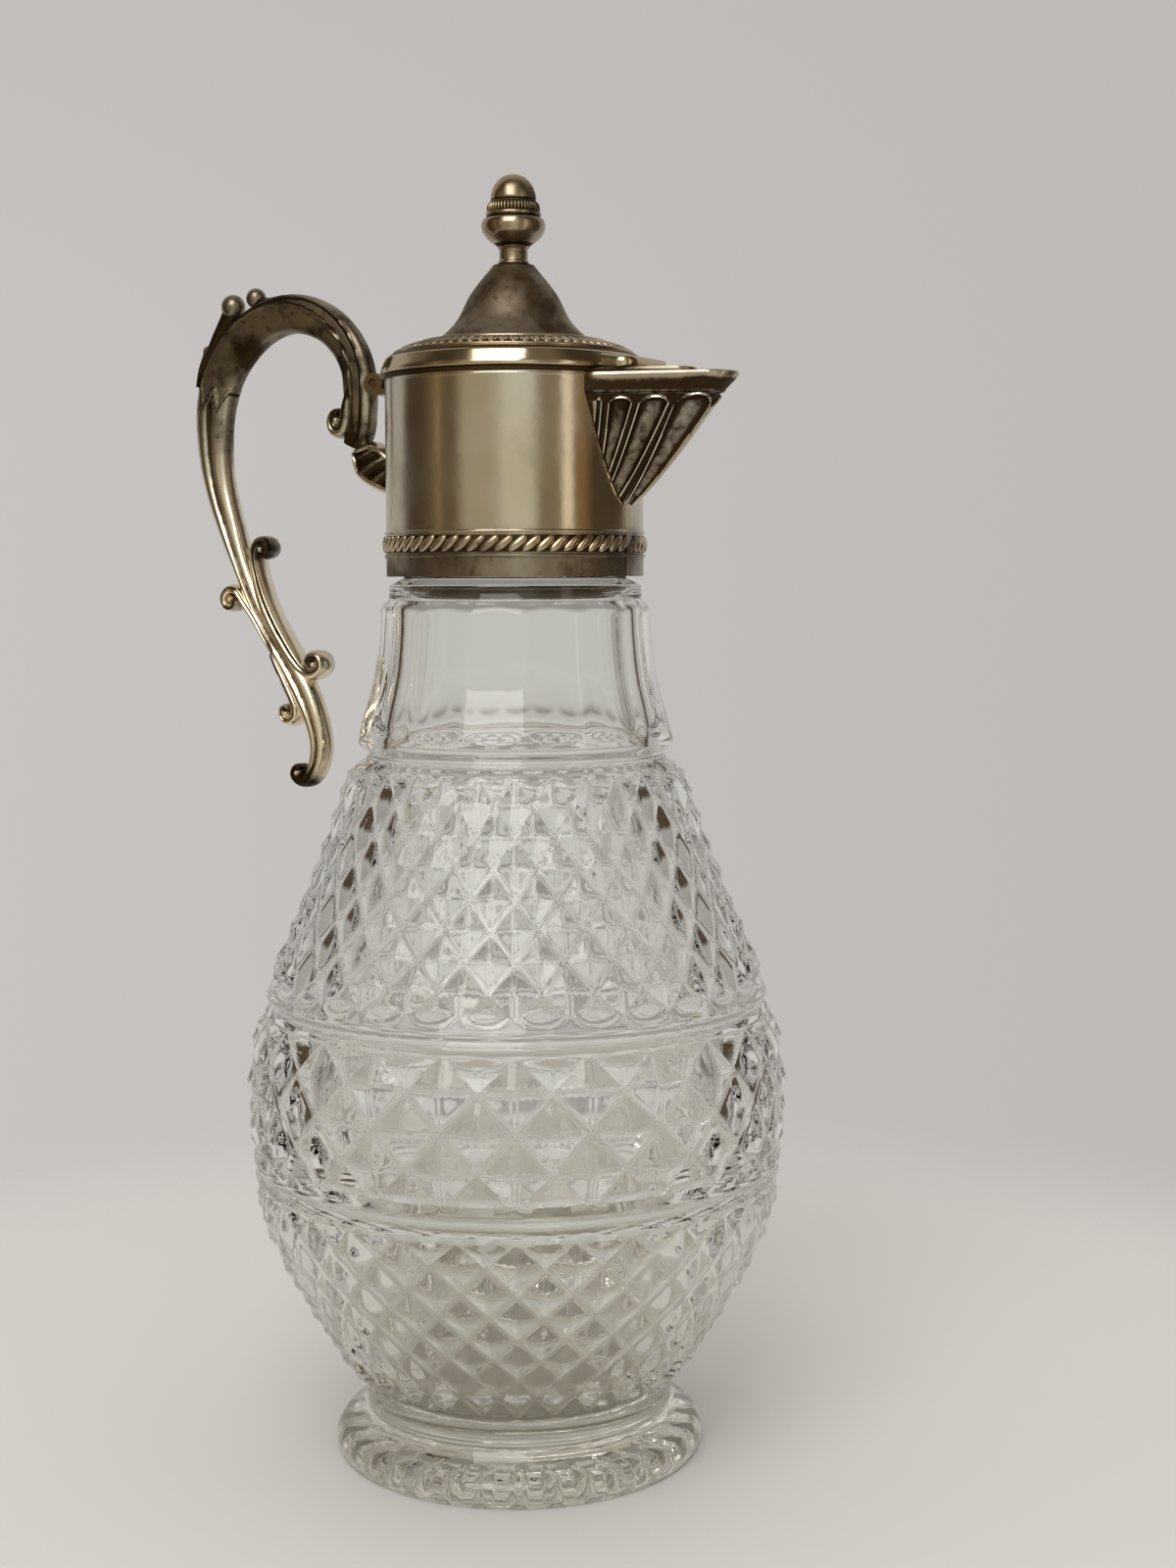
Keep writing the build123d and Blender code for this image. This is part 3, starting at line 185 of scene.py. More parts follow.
@dataclass
class Skin:
    """Vertices and faces of one piece, gathered in millimetres before its mesh is made.

    Attributes:
        points: the vertices.
        faces: vertex numbers of each face.
        depths: how far each vertex lies in a recess, from 0 to 1, for the tarnish; some pieces also use it
            for painted shade.
    """

    points: list[Point] = field(default_factory=list)
    faces: list[tuple[int, ...]] = field(default_factory=list)
    depths: list[float] = field(default_factory=list)

    def add(self, place: Sequence[float], depth: float = 0.0) -> int:
        """Adds a vertex and returns its number."""
        self.points.append((place[0], place[1], place[2]))
        self.depths.append(depth)
        return len(self.points) - 1

    def ring(
        self, radius: float, height: float, columns: int, turn: float = 0.0, depth: float = 0.0
    ) -> list[int]:
        """Adds a level circle of vertices.

        Args:
            radius: radius of the circle.
            height: height of the circle.
            columns: how many vertices it has.
            turn: angle of the first vertex, in degrees.
            depth: recess value of its vertices.

        Returns:
            The vertex numbers.
        """
        angles = [turn + 360 * column / columns for column in range(columns)]
        return [self.add(polar(radius, angle, height), depth) for angle in angles]

    def bridge(self, lower: Sequence[int], upper: Sequence[int], closed: bool = True) -> None:
        """Joins two rows of vertices by quads.

        Args:
            lower: the first row.
            upper: the second row, equally long.
            closed: whether the rows are rings.
        """
        count = len(lower)
        for index in range(count if closed else count - 1):
            after = (index + 1) % count
            self.faces.append((lower[index], lower[after], upper[after], upper[index]))

    def stack(self, rows: Sequence[Sequence[int]], closed: bool = True) -> None:
        """Joins each row of vertices to the next one by quads."""
        for lower, upper in zip(rows, rows[1:]):
            self.bridge(lower, upper, closed)

    def climb(self, lowest: list[int], profile: Sequence[Pair], turn: float) -> list[int]:
        """Adds level rings one after another, each joined to the one before it.

        Args:
            lowest: the ring to start from.
            profile: radius and height of each new ring.
            turn: angle of the first vertex, in degrees.

        Returns:
            The last ring.
        """
        rows = [lowest]
        for radius, height in profile:
            rows.append(self.ring(radius, height, len(lowest), turn))
            self.bridge(rows[-2], rows[-1])
        return rows[-1]

    def cap(self, row: Sequence[int], centre: Sequence[float], depth: float = 0.0) -> None:
        """Closes a ring with a fan round a centre point."""
        hub = self.add(centre, depth)
        for index in range(len(row)):
            self.faces.append((row[index], row[(index + 1) % len(row)], hub))

    def make(self, name: str, sharp_degrees: float = 35.0) -> bpy.types.Object:
        """Turns the skin into an object in metres.

        Args:
            name: name of the new object.
            sharp_degrees: edges steeper than this stay sharp in the shading.

        Returns:
            The finished object, at the origin, with plain mesh data.
        """
        mesh = bpy.data.meshes.new(name)
        mesh.from_pydata([tuple(MM * value for value in place) for place in self.points], [], self.faces)
        recess = mesh.attributes.new("recess", "FLOAT", "POINT")
        recess.data.foreach_set("value", self.depths)
        shell = bmesh.new()
        shell.from_mesh(mesh)
        bmesh.ops.remove_doubles(shell, verts=shell.verts, dist=1e-7)
        bmesh.ops.recalc_face_normals(shell, faces=shell.faces)
        shell.to_mesh(mesh)
        shell.free()
        piece = bpy.data.objects.new(name, mesh)
        bpy.context.scene.collection.objects.link(piece)
        mesh.shade_smooth()
        mesh.set_sharp_from_angle(angle=math.radians(sharp_degrees))
        return piece


def settle(piece: bpy.types.Object) -> None:
    """Replaces a piece's mesh by the result of its modifiers.

    Args:
        piece: an object with modifiers.
    """
    graph = bpy.context.evaluated_depsgraph_get()
    graph.update()
    mesh = bpy.data.meshes.new_from_object(piece.evaluated_get(graph))
    piece.modifiers.clear()
    piece.data = mesh


def place(
    piece: bpy.types.Object, finish: bpy.types.Material, body: Body, slot: Slot, *nodes: str
) -> bpy.types.Object:
    """Gives a piece its finish, its body and the solids that it stands for.

    Args:
        piece: the finished object.
        finish: its material.
        body: the rigid body that it rides on.
        slot: the record's material slot; not used.
        nodes: names of the solids that it replaces.

    Returns:
        The same object.
    """
    piece.data.materials.clear()
    piece.data.materials.append(finish)
    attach(piece, body.value)
    if nodes:
        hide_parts(*nodes)
    log.info("%s: %d faces on %s", piece.name, len(piece.data.polygons), body.value)
    return piece


def lathe(
    skin: Skin,
    profile: Sequence[Pair],
    columns: int,
    closed: bool = False,
    depth: Callable[[float, float], float] | None = None,
) -> None:
    """Spins a profile of (radius, height) round the Z axis into a skin.

    Args:
        skin: the skin that gets the faces.
        profile: places from one end to the other; an end on the axis is closed to a point.
        columns: how many columns the surface has.
        closed: whether the last place joins the first.
        depth: recess value from radius and height.
    """
    rows: list[list[int]] = []
    for radius, height in profile:
        value = depth(radius, height) if depth else 0.0
        if radius < 1e-4:
            rows.append([skin.add((0.0, 0.0, height), value)] * columns)
        else:
            rows.append(skin.ring(radius, height, columns, depth=value))
    pairs = list(zip(rows, rows[1:]))
    if closed:
        pairs.append((rows[-1], rows[0]))
    for lower, upper in pairs:
        for index in range(columns):
            after = (index + 1) % columns
            corners = [lower[index], lower[after], upper[after], upper[index]]
            unique = list(dict.fromkeys(corners))
            if len(unique) > 2:
                skin.faces.append(tuple(unique))


def rounded(corners: Sequence[Triple], steps: int = 4) -> list[Pair]:
    """Profile through corners, each rounded by its own radius.

    Args:
        corners: radius, height and rounding of each corner, in millimetres.
        steps: how many places replace a rounded corner, less one.

    Returns:
        The profile's places.
    """
    made: list[Pair] = []
    for index, (x, z, size) in enumerate(corners):
        if size <= 0 or index in (0, len(corners) - 1):
            made.append((x, z))
            continue
        before, after = corners[index - 1], corners[index + 1]
        to_before = Vector((before[0] - x, before[1] - z))
        to_after = Vector((after[0] - x, after[1] - z))
        reach = min(size, 0.49 * to_before.length, 0.49 * to_after.length)
        first = Vector((x, z)) + to_before.normalized() * reach
        last = Vector((x, z)) + to_after.normalized() * reach
        for step in range(steps + 1):
            t = step / steps
            spot = first * (1 - t) ** 2 + Vector((x, z)) * 2 * t * (1 - t) + last * t * t
            made.append((spot.x, spot.y))
    return made


class Value:
    """A shader socket that can be added, multiplied and compared in plain sums."""

    def __init__(self, graph: "Graph", socket: bpy.types.NodeSocket) -> None:
        """Keeps a socket with its graph."""
        self.graph = graph
        self.socket = socket

    def _sum(self, operation: str, first: object, second: object) -> "Value":
        """Result of a Math node on two values."""
        return self.graph.node("ShaderNodeMath", {0: first, 1: second}, operation=operation)

    def __add__(self, other: object) -> "Value":
        """This value plus another."""
        return self._sum("ADD", self, other)

    def __radd__(self, other: object) -> "Value":
        """Another value plus this one."""
        return self._sum("ADD", other, self)

    def __sub__(self, other: object) -> "Value":
        """This value less another."""
        return self._sum("SUBTRACT", self, other)

    def __rsub__(self, other: object) -> "Value":
        """Another value less this one."""
        return self._sum("SUBTRACT", other, self)

    def __mul__(self, other: object) -> "Value":
        """This value times another."""
        return self._sum("MULTIPLY", self, other)

    def power(self, other: object) -> "Value":
        """This value raised to another."""
        return self._sum("POWER", self, other)

    def above(self, other: object) -> "Value":
        """1 where this value is larger than another, else 0."""
        return self._sum("GREATER_THAN", self, other)

    def larger(self, other: object) -> "Value":
        """The larger of this value and another."""
        return self._sum("MAXIMUM", self, other)

    def step(self, low: float, high: float) -> "Value":
        """Smooth rise from 0 at low to 1 at high."""
        values = {"Value": self, 1: low, 2: high, 3: 0.0, 4: 1.0}
        return self.graph.node("ShaderNodeMapRange", values, interpolation_type="SMOOTHSTEP")


class Graph:
    """Builds the nodes of one shader tree."""

    def __init__(self, tree: bpy.types.NodeTree) -> None:
        """Empties a tree and gets ready to fill it."""
        self.tree = tree
        tree.nodes.clear()

    def node(
        self, kind: str, inputs: dict | None = None, output: int | str = 0, **settings: object
    ) -> Value:
        """Adds a node.

        Args:
            kind: Blender's name of the node type.
            inputs: values or sockets for its inputs, by name or number.
            output: which output is returned.
            settings: properties to set on the node.

        Returns:
            The chosen output.
        """
        made = self.tree.nodes.new(kind)
        for name, value in settings.items():
            setattr(made, name, value)
        for name, value in (inputs or {}).items():
            socket = made.inputs[name]
            if isinstance(value, Value):
                self.tree.links.new(value.socket, socket)
            else:
                socket.default_value = value
        return Value(self, made.outputs[output])

    def spot(self) -> Value:
        """Place on the surface, in the object's own frame."""
        return self.node("ShaderNodeTexCoord", output="Object")

    def bump(self, strength: float, distance: float, height: Value) -> Value:
        """Normal of a slightly uneven surface."""
        return self.node("ShaderNodeBump", {"Strength": strength, "Distance": distance, "Height": height})

    def noise(self, place: Value, scale: float, detail: float = 3.0) -> Value:
        """Cloudy noise over a place, in features per metre."""
        return self.node("ShaderNodeTexNoise", {"Vector": place, "Scale": scale, "Detail": detail})

    def principled(self, **inputs: object) -> Value:
        """Principled shader from its inputs, with spaces in their names written as underscores."""
        named = {name.replace("_", " "): value for name, value in inputs.items()}
        return self.node("ShaderNodeBsdfPrincipled", named)

    def blend(self, share: object, first: object, second: object) -> Value:
        """Mixes two colours."""
        return self.node("ShaderNodeMix", {0: share, 6: first, 7: second}, 2, data_type="RGBA")

    def surface(self, shader: Value, world: bool = False) -> None:
        """Links a shader to the tree's output."""
        kind = "ShaderNodeOutputWorld" if world else "ShaderNodeOutputMaterial"
        self.tree.links.new(shader.socket, self.tree.nodes.new(kind).inputs["Surface"])


def tone(red: float, green: float, blue: float) -> Quad:
    """Colour from its linear values."""
    return (red, green, blue, 1.0)


def new_material(name: str) -> tuple[bpy.types.Material, Graph]:
    """Makes an empty material and the graph that fills it."""
    material = bpy.data.materials.new(name)
    material.use_nodes = True
    return material, Graph(material.node_tree)


@dataclass(frozen=True)
class Glass:
    """Clear cut glass.

    Attributes:
        name: name of the material.
        tint: colour of the light that passes.
        base_tint: that colour in the thick base.
        base_height: height where the thick base ends, in metres.
        ior: refractive index.
        roughness: blur of the surface.
        waves: strength of the uneven polish.
        deepest: number of bounces after which light goes straight on.
    """

    name: str
    tint: Colour = (0.938, 0.943, 0.921)
    base_tint: Colour = (0.62, 0.61, 0.54)
    base_height: float = 0.085
    ior: float = 1.5
    roughness: float = 0.0
    waves: float = 0.03
    deepest: float = 5.5

    def build(self) -> bpy.types.Material:
        """Makes the material.

        Returns:
            The material.
        """
        material, graph = new_material(self.name)
        spot = graph.spot()
        height = graph.node("ShaderNodeSeparateXYZ", {0: spot}, 2)
        bump = graph.bump(self.waves, 0.001, graph.noise(spot, 160.0))
        tint = graph.blend(height.step(0.0, self.base_height), tone(*self.base_tint), tone(*self.tint))
        shader = graph.principled(
            Base_Color=tint, Roughness=self.roughness, IOR=self.ior, Transmission_Weight=1.0, Normal=bump
        )
        late = graph.node("ShaderNodeLightPath", output="Ray Depth").above(self.deepest)
        clear = graph.node("ShaderNodeBsdfTransparent")
        graph.surface(graph.node("ShaderNodeMixShader", {0: late, 1: shader, 2: clear}))
        return material


@dataclass(frozen=True)
class AgedSilver:
    """Worn silver plate with brown tarnish in its recesses, and painted shade where the recess attribute
    carries it.

    Attributes:
        name: name of the material.
        bright: colour of the rubbed metal.
        dull: colour of the tarnish.
        tarnish: share of tarnish on open surfaces.
        recess: how strongly the recess attribute darkens the metal.
        roughness: lowest roughness.
        dents: strength of the uneven surface.
        cast: how the bright colour is turned in wide, soft patches.
        height_darkening: height where the metal starts to turn darker, height where it is darkest, and the
            share of the darkening.
        satin: height where the metal turns rougher, height where it is full, and its amount.
    """

    name: str
    bright: Colour = (0.62, 0.55, 0.42)
    dull: Colour = (0.075, 0.045, 0.02)
    tarnish: float = 0.16
    recess: float = 0.9
    roughness: float = 0.2
    dents: float = 0.1
    height_darkening: Triple = (0.0, 1.0, 0.0)
    satin: Triple = (0.0, 1.0, 0.0)
    cast: Colour = (0.9, 0.84, 0.72)

    def build(self) -> bpy.types.Material:
        """Makes the material.

        Returns:
            The material.
        """
        material, graph = new_material(self.name)
        spot = graph.spot()
        height = graph.node("ShaderNodeSeparateXYZ", {0: spot}, 2)
        recess = graph.node("ShaderNodeAttribute", output="Fac", attribute_name="recess")
        clouds = graph.noise(spot, 70.0, 5.0)
        wide = graph.noise(spot, 26.0, 3.0)
        grain = graph.noise(spot, 620.0, 3.0)
        stains_and_height_darkening = clouds.step(0.46, 0.72) * self.tarnish * 2.0 + grain.step(0.5, 0.8) * self.tarnish
        # The metal also turns darker past a set height, upwards or downwards.
        stains_and_height_darkening = stains_and_height_darkening + height.step(self.height_darkening[0], self.height_darkening[1]) * (clouds * 0.5 + 0.55) * self.height_darkening[2]
        ragged = recess * self.recess + (grain - 0.5) * recess * 0.6 + (clouds - 0.5) * recess * 0.35
        share = (stains_and_height_darkening + ragged.step(0.08, 0.8)).step(0.0, 1.0)
        turned = tone(*[light * part for light, part in zip(self.bright, self.cast)])
        worn = graph.blend(wide.step(0.35, 0.65), tone(*self.bright), turned)
        base = graph.blend(share, worn, tone(*self.dull))
        rough = self.roughness + share * 0.3 + (clouds - 0.4).larger(0.0) * 0.3
        rough = rough + height.step(self.satin[0], self.satin[1]) * self.satin[2]
        uneven = graph.noise(spot, 240.0, 2.0) + graph.noise(spot, 45.0, 2.0) * 1.6
        bump = graph.bump(self.dents, 0.0006, uneven)
        graph.surface(graph.principled(Base_Color=base, Metallic=1.0, Roughness=rough, Normal=bump))
        return material


@dataclass(frozen=True)
class Chalk:
    """Matt plaster.

    Attributes:
        name: name of the material.
        colour: its colour.
    """

    name: str
    colour: Colour = (0.2, 0.15, 0.095)

    def build(self) -> bpy.types.Material:
        """Makes the material.

        Returns:
            The material.
        """
        material, graph = new_material(self.name)
        bump = graph.bump(0.3, 0.0004, graph.noise(graph.spot(), 900.0))
        graph.surface(graph.principled(Base_Color=tone(*self.colour), Roughness=0.9, Normal=bump))
        return material


class Finishes:
    """The finishes of the jug, built once each."""

    def __init__(self) -> None:
        """Makes all the materials."""
        brown, umber, soot = (0.52, 0.45, 0.35), (0.05, 0.03, 0.014), (0.04, 0.024, 0.01)
        dome = (0.2515, 0.254)
        self.glass = Glass("cut_glass").build()
        self.plaster = Chalk("plaster").build()
        self.collar = AgedSilver(
            "silver_collar",
            (0.66, 0.61, 0.53),
            tarnish=0.14, roughness=0.16, dents=0.07, height_darkening=(0.214, 0.206, 0.7),
        ).build()
        self.band = AgedSilver("silver_band", (0.6, 0.52, 0.4), umber, tarnish=0.36, recess=1.0).build()
        self.spout = AgedSilver(
            "silver_spout", (0.72, 0.66, 0.58), (0.045, 0.026, 0.012), tarnish=0.14, recess=1.0
        ).build()
        self.lid = AgedSilver("silver_lid", brown, tarnish=0.26, roughness=0.22, dents=0.06).build()
        self.rim = AgedSilver(
            "silver_rim",
            (0.63, 0.55, 0.42),
            tarnish=0.18, roughness=0.12, dents=0.05, height_darkening=(*dome, 0.8), satin=(*dome, 0.14),
        ).build()
        self.lip = AgedSilver("silver_lip", (0.6, 0.53, 0.45), umber, tarnish=0.2, recess=1.0).build()
        self.finial = AgedSilver("silver_finial", (0.45, 0.37, 0.26), soot, tarnish=0.4, recess=1.0).build()
        self.handle = AgedSilver(
            "silver_handle",
            (0.95, 0.88, 0.75),
            (0.045, 0.027, 0.012),
            tarnish=0.2, recess=1.0, roughness=0.11, dents=0.12, height_darkening=(0.205, 0.255, 0.85),
        ).build()
        self.hinge = AgedSilver(
            "silver_hinge", (0.34, 0.28, 0.2), soot, tarnish=0.4, roughness=0.3, dents=0.3
        ).build()
        self.dark = AgedSilver(
            "silver_dark", (0.2, 0.15, 0.1), (0.03, 0.02, 0.01), tarnish=0.7, roughness=0.45
        ).build()


class RingOfCopies:
    """Geometry Nodes tree that sets rounded bars in a ring about the Z axis."""

    INPUTS = (
        ("Count", "NodeSocketInt"), ("Radius", "NodeSocketFloat"), ("Height", "NodeSocketFloat"),
        ("First Angle", "NodeSocketFloat"), ("Angle Step", "NodeSocketFloat"),
        ("Lean", "NodeSocketFloat"), ("Tilt", "NodeSocketFloat"), ("Half Size", "NodeSocketVector"),
        ("Size Spread", "NodeSocketFloat"), ("Seed", "NodeSocketInt"), ("Segments", "NodeSocketInt"),
        ("Rings", "NodeSocketInt"), ("Finish", "NodeSocketMaterial"),
    )

    def __init__(self) -> None:
        """Makes the tree and its inputs."""
        self.tree = bpy.data.node_groups.new("ring_of_copies", "GeometryNodeTree")
        self.identifiers: dict[str, str] = {}
        for name, kind in self.INPUTS:
            item = self.tree.interface.new_socket(name, in_out="INPUT", socket_type=kind)
            self.identifiers[name] = item.identifier
        self.tree.interface.new_socket("Geometry", in_out="OUTPUT", socket_type="NodeSocketGeometry")
        self._build()

    def _add(self, kind: str, inputs: dict | None = None, **settings: object) -> bpy.types.Node:
        """Adds a node.

        Args:
            kind: its type.
            inputs: sockets or values by the name or number of the input.
            settings: its properties.

        Returns:
            The node.
        """
        made = self.tree.nodes.new(kind)
        for name, value in settings.items():
            setattr(made, name, value)
        for name, value in (inputs or {}).items():
            if isinstance(value, bpy.types.NodeSocket):
                self.tree.links.new(value, made.inputs[name])
            else:
                made.inputs[name].default_value = value
        return made

    def _math(self, operation: str, first: object, second: object = 0.0) -> bpy.types.NodeSocket:
        """Result of a Math node on two values."""
        return self._add("ShaderNodeMath", {0: first, 1: second}, operation=operation).outputs[0]

    def _build(self) -> None:
        """Fills the tree: rounded bars on a ring, each slightly larger or smaller."""
        given = self._add("NodeGroupInput").outputs
        index = self._add("GeometryNodeInputIndex").outputs[0]
        angle = self._math("ADD", given["First Angle"], self._math("MULTIPLY", index, given["Angle Step"]))
        spread = self._add("FunctionNodeRandomValue", {"Seed": given["Seed"]}, data_type="FLOAT")
        low = self._math("SUBTRACT", 1.0, given["Size Spread"])
        high = self._math("ADD", 1.0, given["Size Spread"])
        self.tree.links.new(low, spread.inputs[2])
        self.tree.links.new(high, spread.inputs[3])
        size = [socket for socket in spread.outputs if socket.type == "VALUE"][0]
        x = self._math("MULTIPLY", given["Radius"], self._math("COSINE", angle))
        y = self._math("MULTIPLY", given["Radius"], self._math("SINE", angle))
        spot = self._add("ShaderNodeCombineXYZ", {0: x, 1: y, 2: given["Height"]})
        points = self._add("GeometryNodePoints", {"Count": given["Count"], "Position": spot.outputs[0]})
        fineness = {"Segments": given["Segments"], "Rings": given["Rings"], "Radius": 1.0}
        bar = self._add("GeometryNodeMeshUVSphere", fineness)
        stretch = {"Geometry": bar.outputs[0], "Scale": given["Half Size"]}
        shaped = self._add("GeometryNodeTransform", stretch)
        turn = self._add("ShaderNodeCombineXYZ", {0: given["Lean"], 1: given["Tilt"], 2: angle})
        turned = self._add("FunctionNodeEulerToRotation", {0: turn.outputs[0]})
        copies = self._add("GeometryNodeInstanceOnPoints", {"Points": points.outputs[0], "Scale": size})
        self.tree.links.new(shaped.outputs[0], copies.inputs["Instance"])
        self.tree.links.new(turned.outputs[0], copies.inputs["Rotation"])
        real = self._add("GeometryNodeRealizeInstances", {0: copies.outputs[0]})
        smooth = self._add("GeometryNodeSetShadeSmooth", {0: real.outputs[0]})
        finish = {"Geometry": smooth.outputs[0], "Material": given["Finish"]}
        painted = self._add("GeometryNodeSetMaterial", finish)
        self._add("NodeGroupOutput", {0: painted.outputs[0]})

    def make(self, name: str, **values: object) -> bpy.types.Object:
        """Makes one ring as a plain mesh object.

        Args:
            name: name of the object.
            values: the tree's inputs, with spaces in their names written as underscores.

        Returns:
            The object.
        """
        piece = bpy.data.objects.new(name, bpy.data.meshes.new(name))
        bpy.context.scene.collection.objects.link(piece)
        ring = piece.modifiers.new("copies", "NODES")
        ring.node_group = self.tree
        for key, value in values.items():
            ring[self.identifiers[key.replace("_", " ")]] = value
        settle(piece)
        return piece


@dataclass
class Assembly:
    """A group of pieces, with what it is made from.

    Attributes:
        finishes: the finishes of the jug.
        copies: the ring-of-copies tree.
    """

    finishes: Finishes
    copies: RingOfCopies


@dataclass(frozen=True)
class CutField:
    """A field of diamonds on the glass.

    Attributes:
        start: radius and height of its lower rim.
        start_pull: where its profile is pulled to above the start.
        end_pull: where its profile is pulled to below the end.
        end: radius and height of its upper rim.
        rows: rows of whole diamonds.
        around: diamonds in each row.
        depth: how far the points stand out of the cuts.
    """

    start: Pair
    start_pull: Pair
    end_pull: Pair
    end: Pair
    rows: int
    around: int
    depth: float


@dataclass
class CutGlass(Assembly):
    """The blown and cut glass body, as one closed surface.

    Attributes:
        turn: angle of the first cut, in degrees.
        columns: columns of the smooth bands.
        rim_share: height of the rim rows against the others.
        ridge_power: sharpness of the diamonds' ridges.
        face_power: bulge of their faces, 1 for flat ones.
        rim_rise: rise of the half diamonds against the whole ones.
        rays: number of rays under the foot.
        ray_radius: radius of the round cutter of the rays.
        ray_depth: how far a ray rises towards the foot's side.
        ray_start: distance from the axis at which the rays start.
        ray_end: distance at which they begin to end in a round.
        foot_radius: outer radius of the foot.
        side_centre: radius and height of the middle of the foot's round side.
        side_reach: radius of that side.
        waist_low: cubic curve from the foot to the waist.
        waist_high: cubic curve from the waist to the lower field.
        lower: the lower field of diamonds.
        middle: the field between the smooth bands.
        upper: the upper field.
        panels: number of flat panels round the neck.
        panel_knots: distance of the panels from the axis, and height, up the neck.
        shoulder: radius and height of the rings that end the panels in arches.
        shoulder_apothem: distance of the panels from the axis there.
        stem: radius, height and rounding of the corners over the shoulder.
        round_share: roundness of a ring that is as good as a circle.
        bore: radius of the opening through the stem.
        hollow: radius and height of the hollow, from its floor to its top.
        hollow_spare: how much wider the hollow of the belly is than these knots.
    """

    turn: float = 0.4
    columns: int = 240
    rim_share: float = 0.85
    ridge_power: float = 14.0
    face_power: float = 1.08
    rim_rise: float = 0.9
    rays: int = 30
    ray_radius: float = 3.1
    ray_depth: float = 1.7
    ray_start: float = 27.0
    ray_end: float = 37.9
    foot_radius: float = 42.5
    side_centre: Pair = (38.4, 2.75)
    side_reach: float = 4.136
    waist_low: tuple[Pair, ...] = ((39.1, 6.6), (37.3, 8.3), (35.2, 9.9), (35.2, 12.0))
    waist_high: tuple[Pair, ...] = ((35.2, 12.0), (35.2, 14.4), (36.8, 17.0), (37.9, 19.3))
    lower: CutField = CutField((37.9, 19.3), (42.0, 27.5), (58.2, 49.0), (59.2, 64.0), 7, 30, 1.6)
    middle: CutField = CutField((59.6, 71.9), (60.4, 80.9), (60.5, 92.3), (57.3, 102.3), 3, 24, 2.0)
    upper: CutField = CutField((55.6, 110.1), (47.6, 126.1), (41.1, 143.8), (36.9, 157.8), 7, 30, 1.6)
    panels: int = 16
    panel_knots: tuple[Pair, ...] = (
        (34.6, 167.0), (33.55, 171.0), (31.7, 178.2), (30.75, 186.0), (30.4, 191.4),
    )
    shoulder: tuple[Pair, ...] = (
        (30.95, 191.8), (30.85, 192.6), (30.62, 193.4), (30.2, 194.2), (29.6, 194.9), (28.9, 195.4),
    )
    shoulder_apothem: float = 30.38
    stem: tuple[Point, ...] = (
        (28.9, 195.4, 0.0), (28.6, 195.7, 0.1), (28.5, 199.0, 0.5), (25.0, 200.6, 0.4),
        (25.0, 214.0, 0.5), (20.5, 214.0, 0.0),
    )
    round_share: float = 0.999
    bore: float = 20.5
    hollow_spare: float = 0.4
    hollow: tuple[Pair, ...] = (
        (21.0, 15.5), (26.5, 17.0), (31.7, 20.0), (35.5, 24.0), (40.0, 32.0), (43.1, 40.0),
        (46.9, 50.0), (49.6, 58.0), (52.9, 70.0), (54.3, 80.0), (54.3, 90.0), (52.0, 100.0),
        (49.4, 108.0), (46.8, 115.0), (41.0, 130.0), (35.6, 145.0), (32.1, 155.0), (29.5, 160.0),
        (28.9, 165.0), (27.9, 171.0), (26.5, 178.0), (25.7, 185.0), (25.3, 191.0), (25.1, 195.5),
        (24.2, 198.4), (20.9, 200.4),
    )

    def ray_height(self, radius: float, angle: float) -> float:
        """Height of the ray cuts above the foot's plane.

        Args:
            radius: distance from the axis.
            angle: direction in degrees.

        Returns:
            The height, 0 between the rays.
        """
        pitch = 360 / self.rays
        away = (angle - self.turn + pitch / 2) % pitch - pitch / 2
        across = radius * math.sin(math.radians(away))
        run = self.foot_radius - self.ray_start
        axis = -self.ray_radius + self.ray_depth * (radius - self.ray_start) / run
        beyond = max(radius - self.ray_end, 0.0)
        inside = self.ray_radius**2 - across**2 - beyond**2
        return max(axis + math.sqrt(inside), 0.0) if inside > 0 else 0.0

    def side_radius(self, height: float) -> float:
        """Radius of the foot's bulging side at a height."""
        centre_x, centre_z = self.side_centre
        return centre_x + math.sqrt(max(self.side_reach**2 - (height - centre_z) ** 2, 0.0))

    def foot_rows(self, skin: Skin) -> list[list[int]]:
        """Adds the rings of the foot and the lower waist, twice as fine as the bands.

        Args:
            skin: the skin that gets them.

        Returns:
            The rings, from the middle of the underside to the waist.
        """
        count = 2 * self.columns
        angles = [self.turn + 360 * column / count for column in range(count)]
        rows = [[skin.add(polar(24.0, angle, 0.0)) for angle in angles]]
        for radius in (27.0, 28.2, 29.6, 31.2, 33.0, 35.0, 36.6, 37.9, 38.7, 39.3, 39.8, 40.2, 40.5, 40.8):
            rows.append([skin.add(polar(radius, angle, self.ray_height(radius, angle))) for angle in angles])
        rim = [self.ray_height(self.foot_radius - 0.4, angle) for angle in angles]
        for step in range(7):
            levels = [mix(low, 3.2, step / 6) for low in rim]
            rows.append([skin.add(polar(self.side_radius(z), a, z)) for a, z in zip(angles, levels)])
        side = [(self.side_radius(height), height) for height in (4.0, 4.8, 5.5, 6.1)]
        for radius, height in side + bow(*self.waist_low, 8):
            rows.append([skin.add(polar(radius, angle, height)) for angle in angles])
        return rows

    def foot(self, skin: Skin) -> None:
        """Adds the foot and the waist, up to the lower field.

        Args:
            skin: the skin that gets them.
        """
        rows = self.foot_rows(skin)
        skin.cap(rows[0], (0.0, 0.0, 0.0))
        skin.stack(rows)
        fine = rows[-1]
        waist = bow(*self.waist_high, 7)[1:]
        coarse = skin.ring(*waist[0], self.columns, self.turn)
        for column in range(self.columns):
            after = (column + 1) % self.columns
            a, b, c = fine[2 * column], fine[2 * column + 1], fine[(2 * column + 2) % len(fine)]
            skin.faces += [(a, b, coarse[column]), (b, coarse[after], coarse[column]), (b, c, coarse[after])]
        skin.climb(coarse, waist[1:], self.turn)

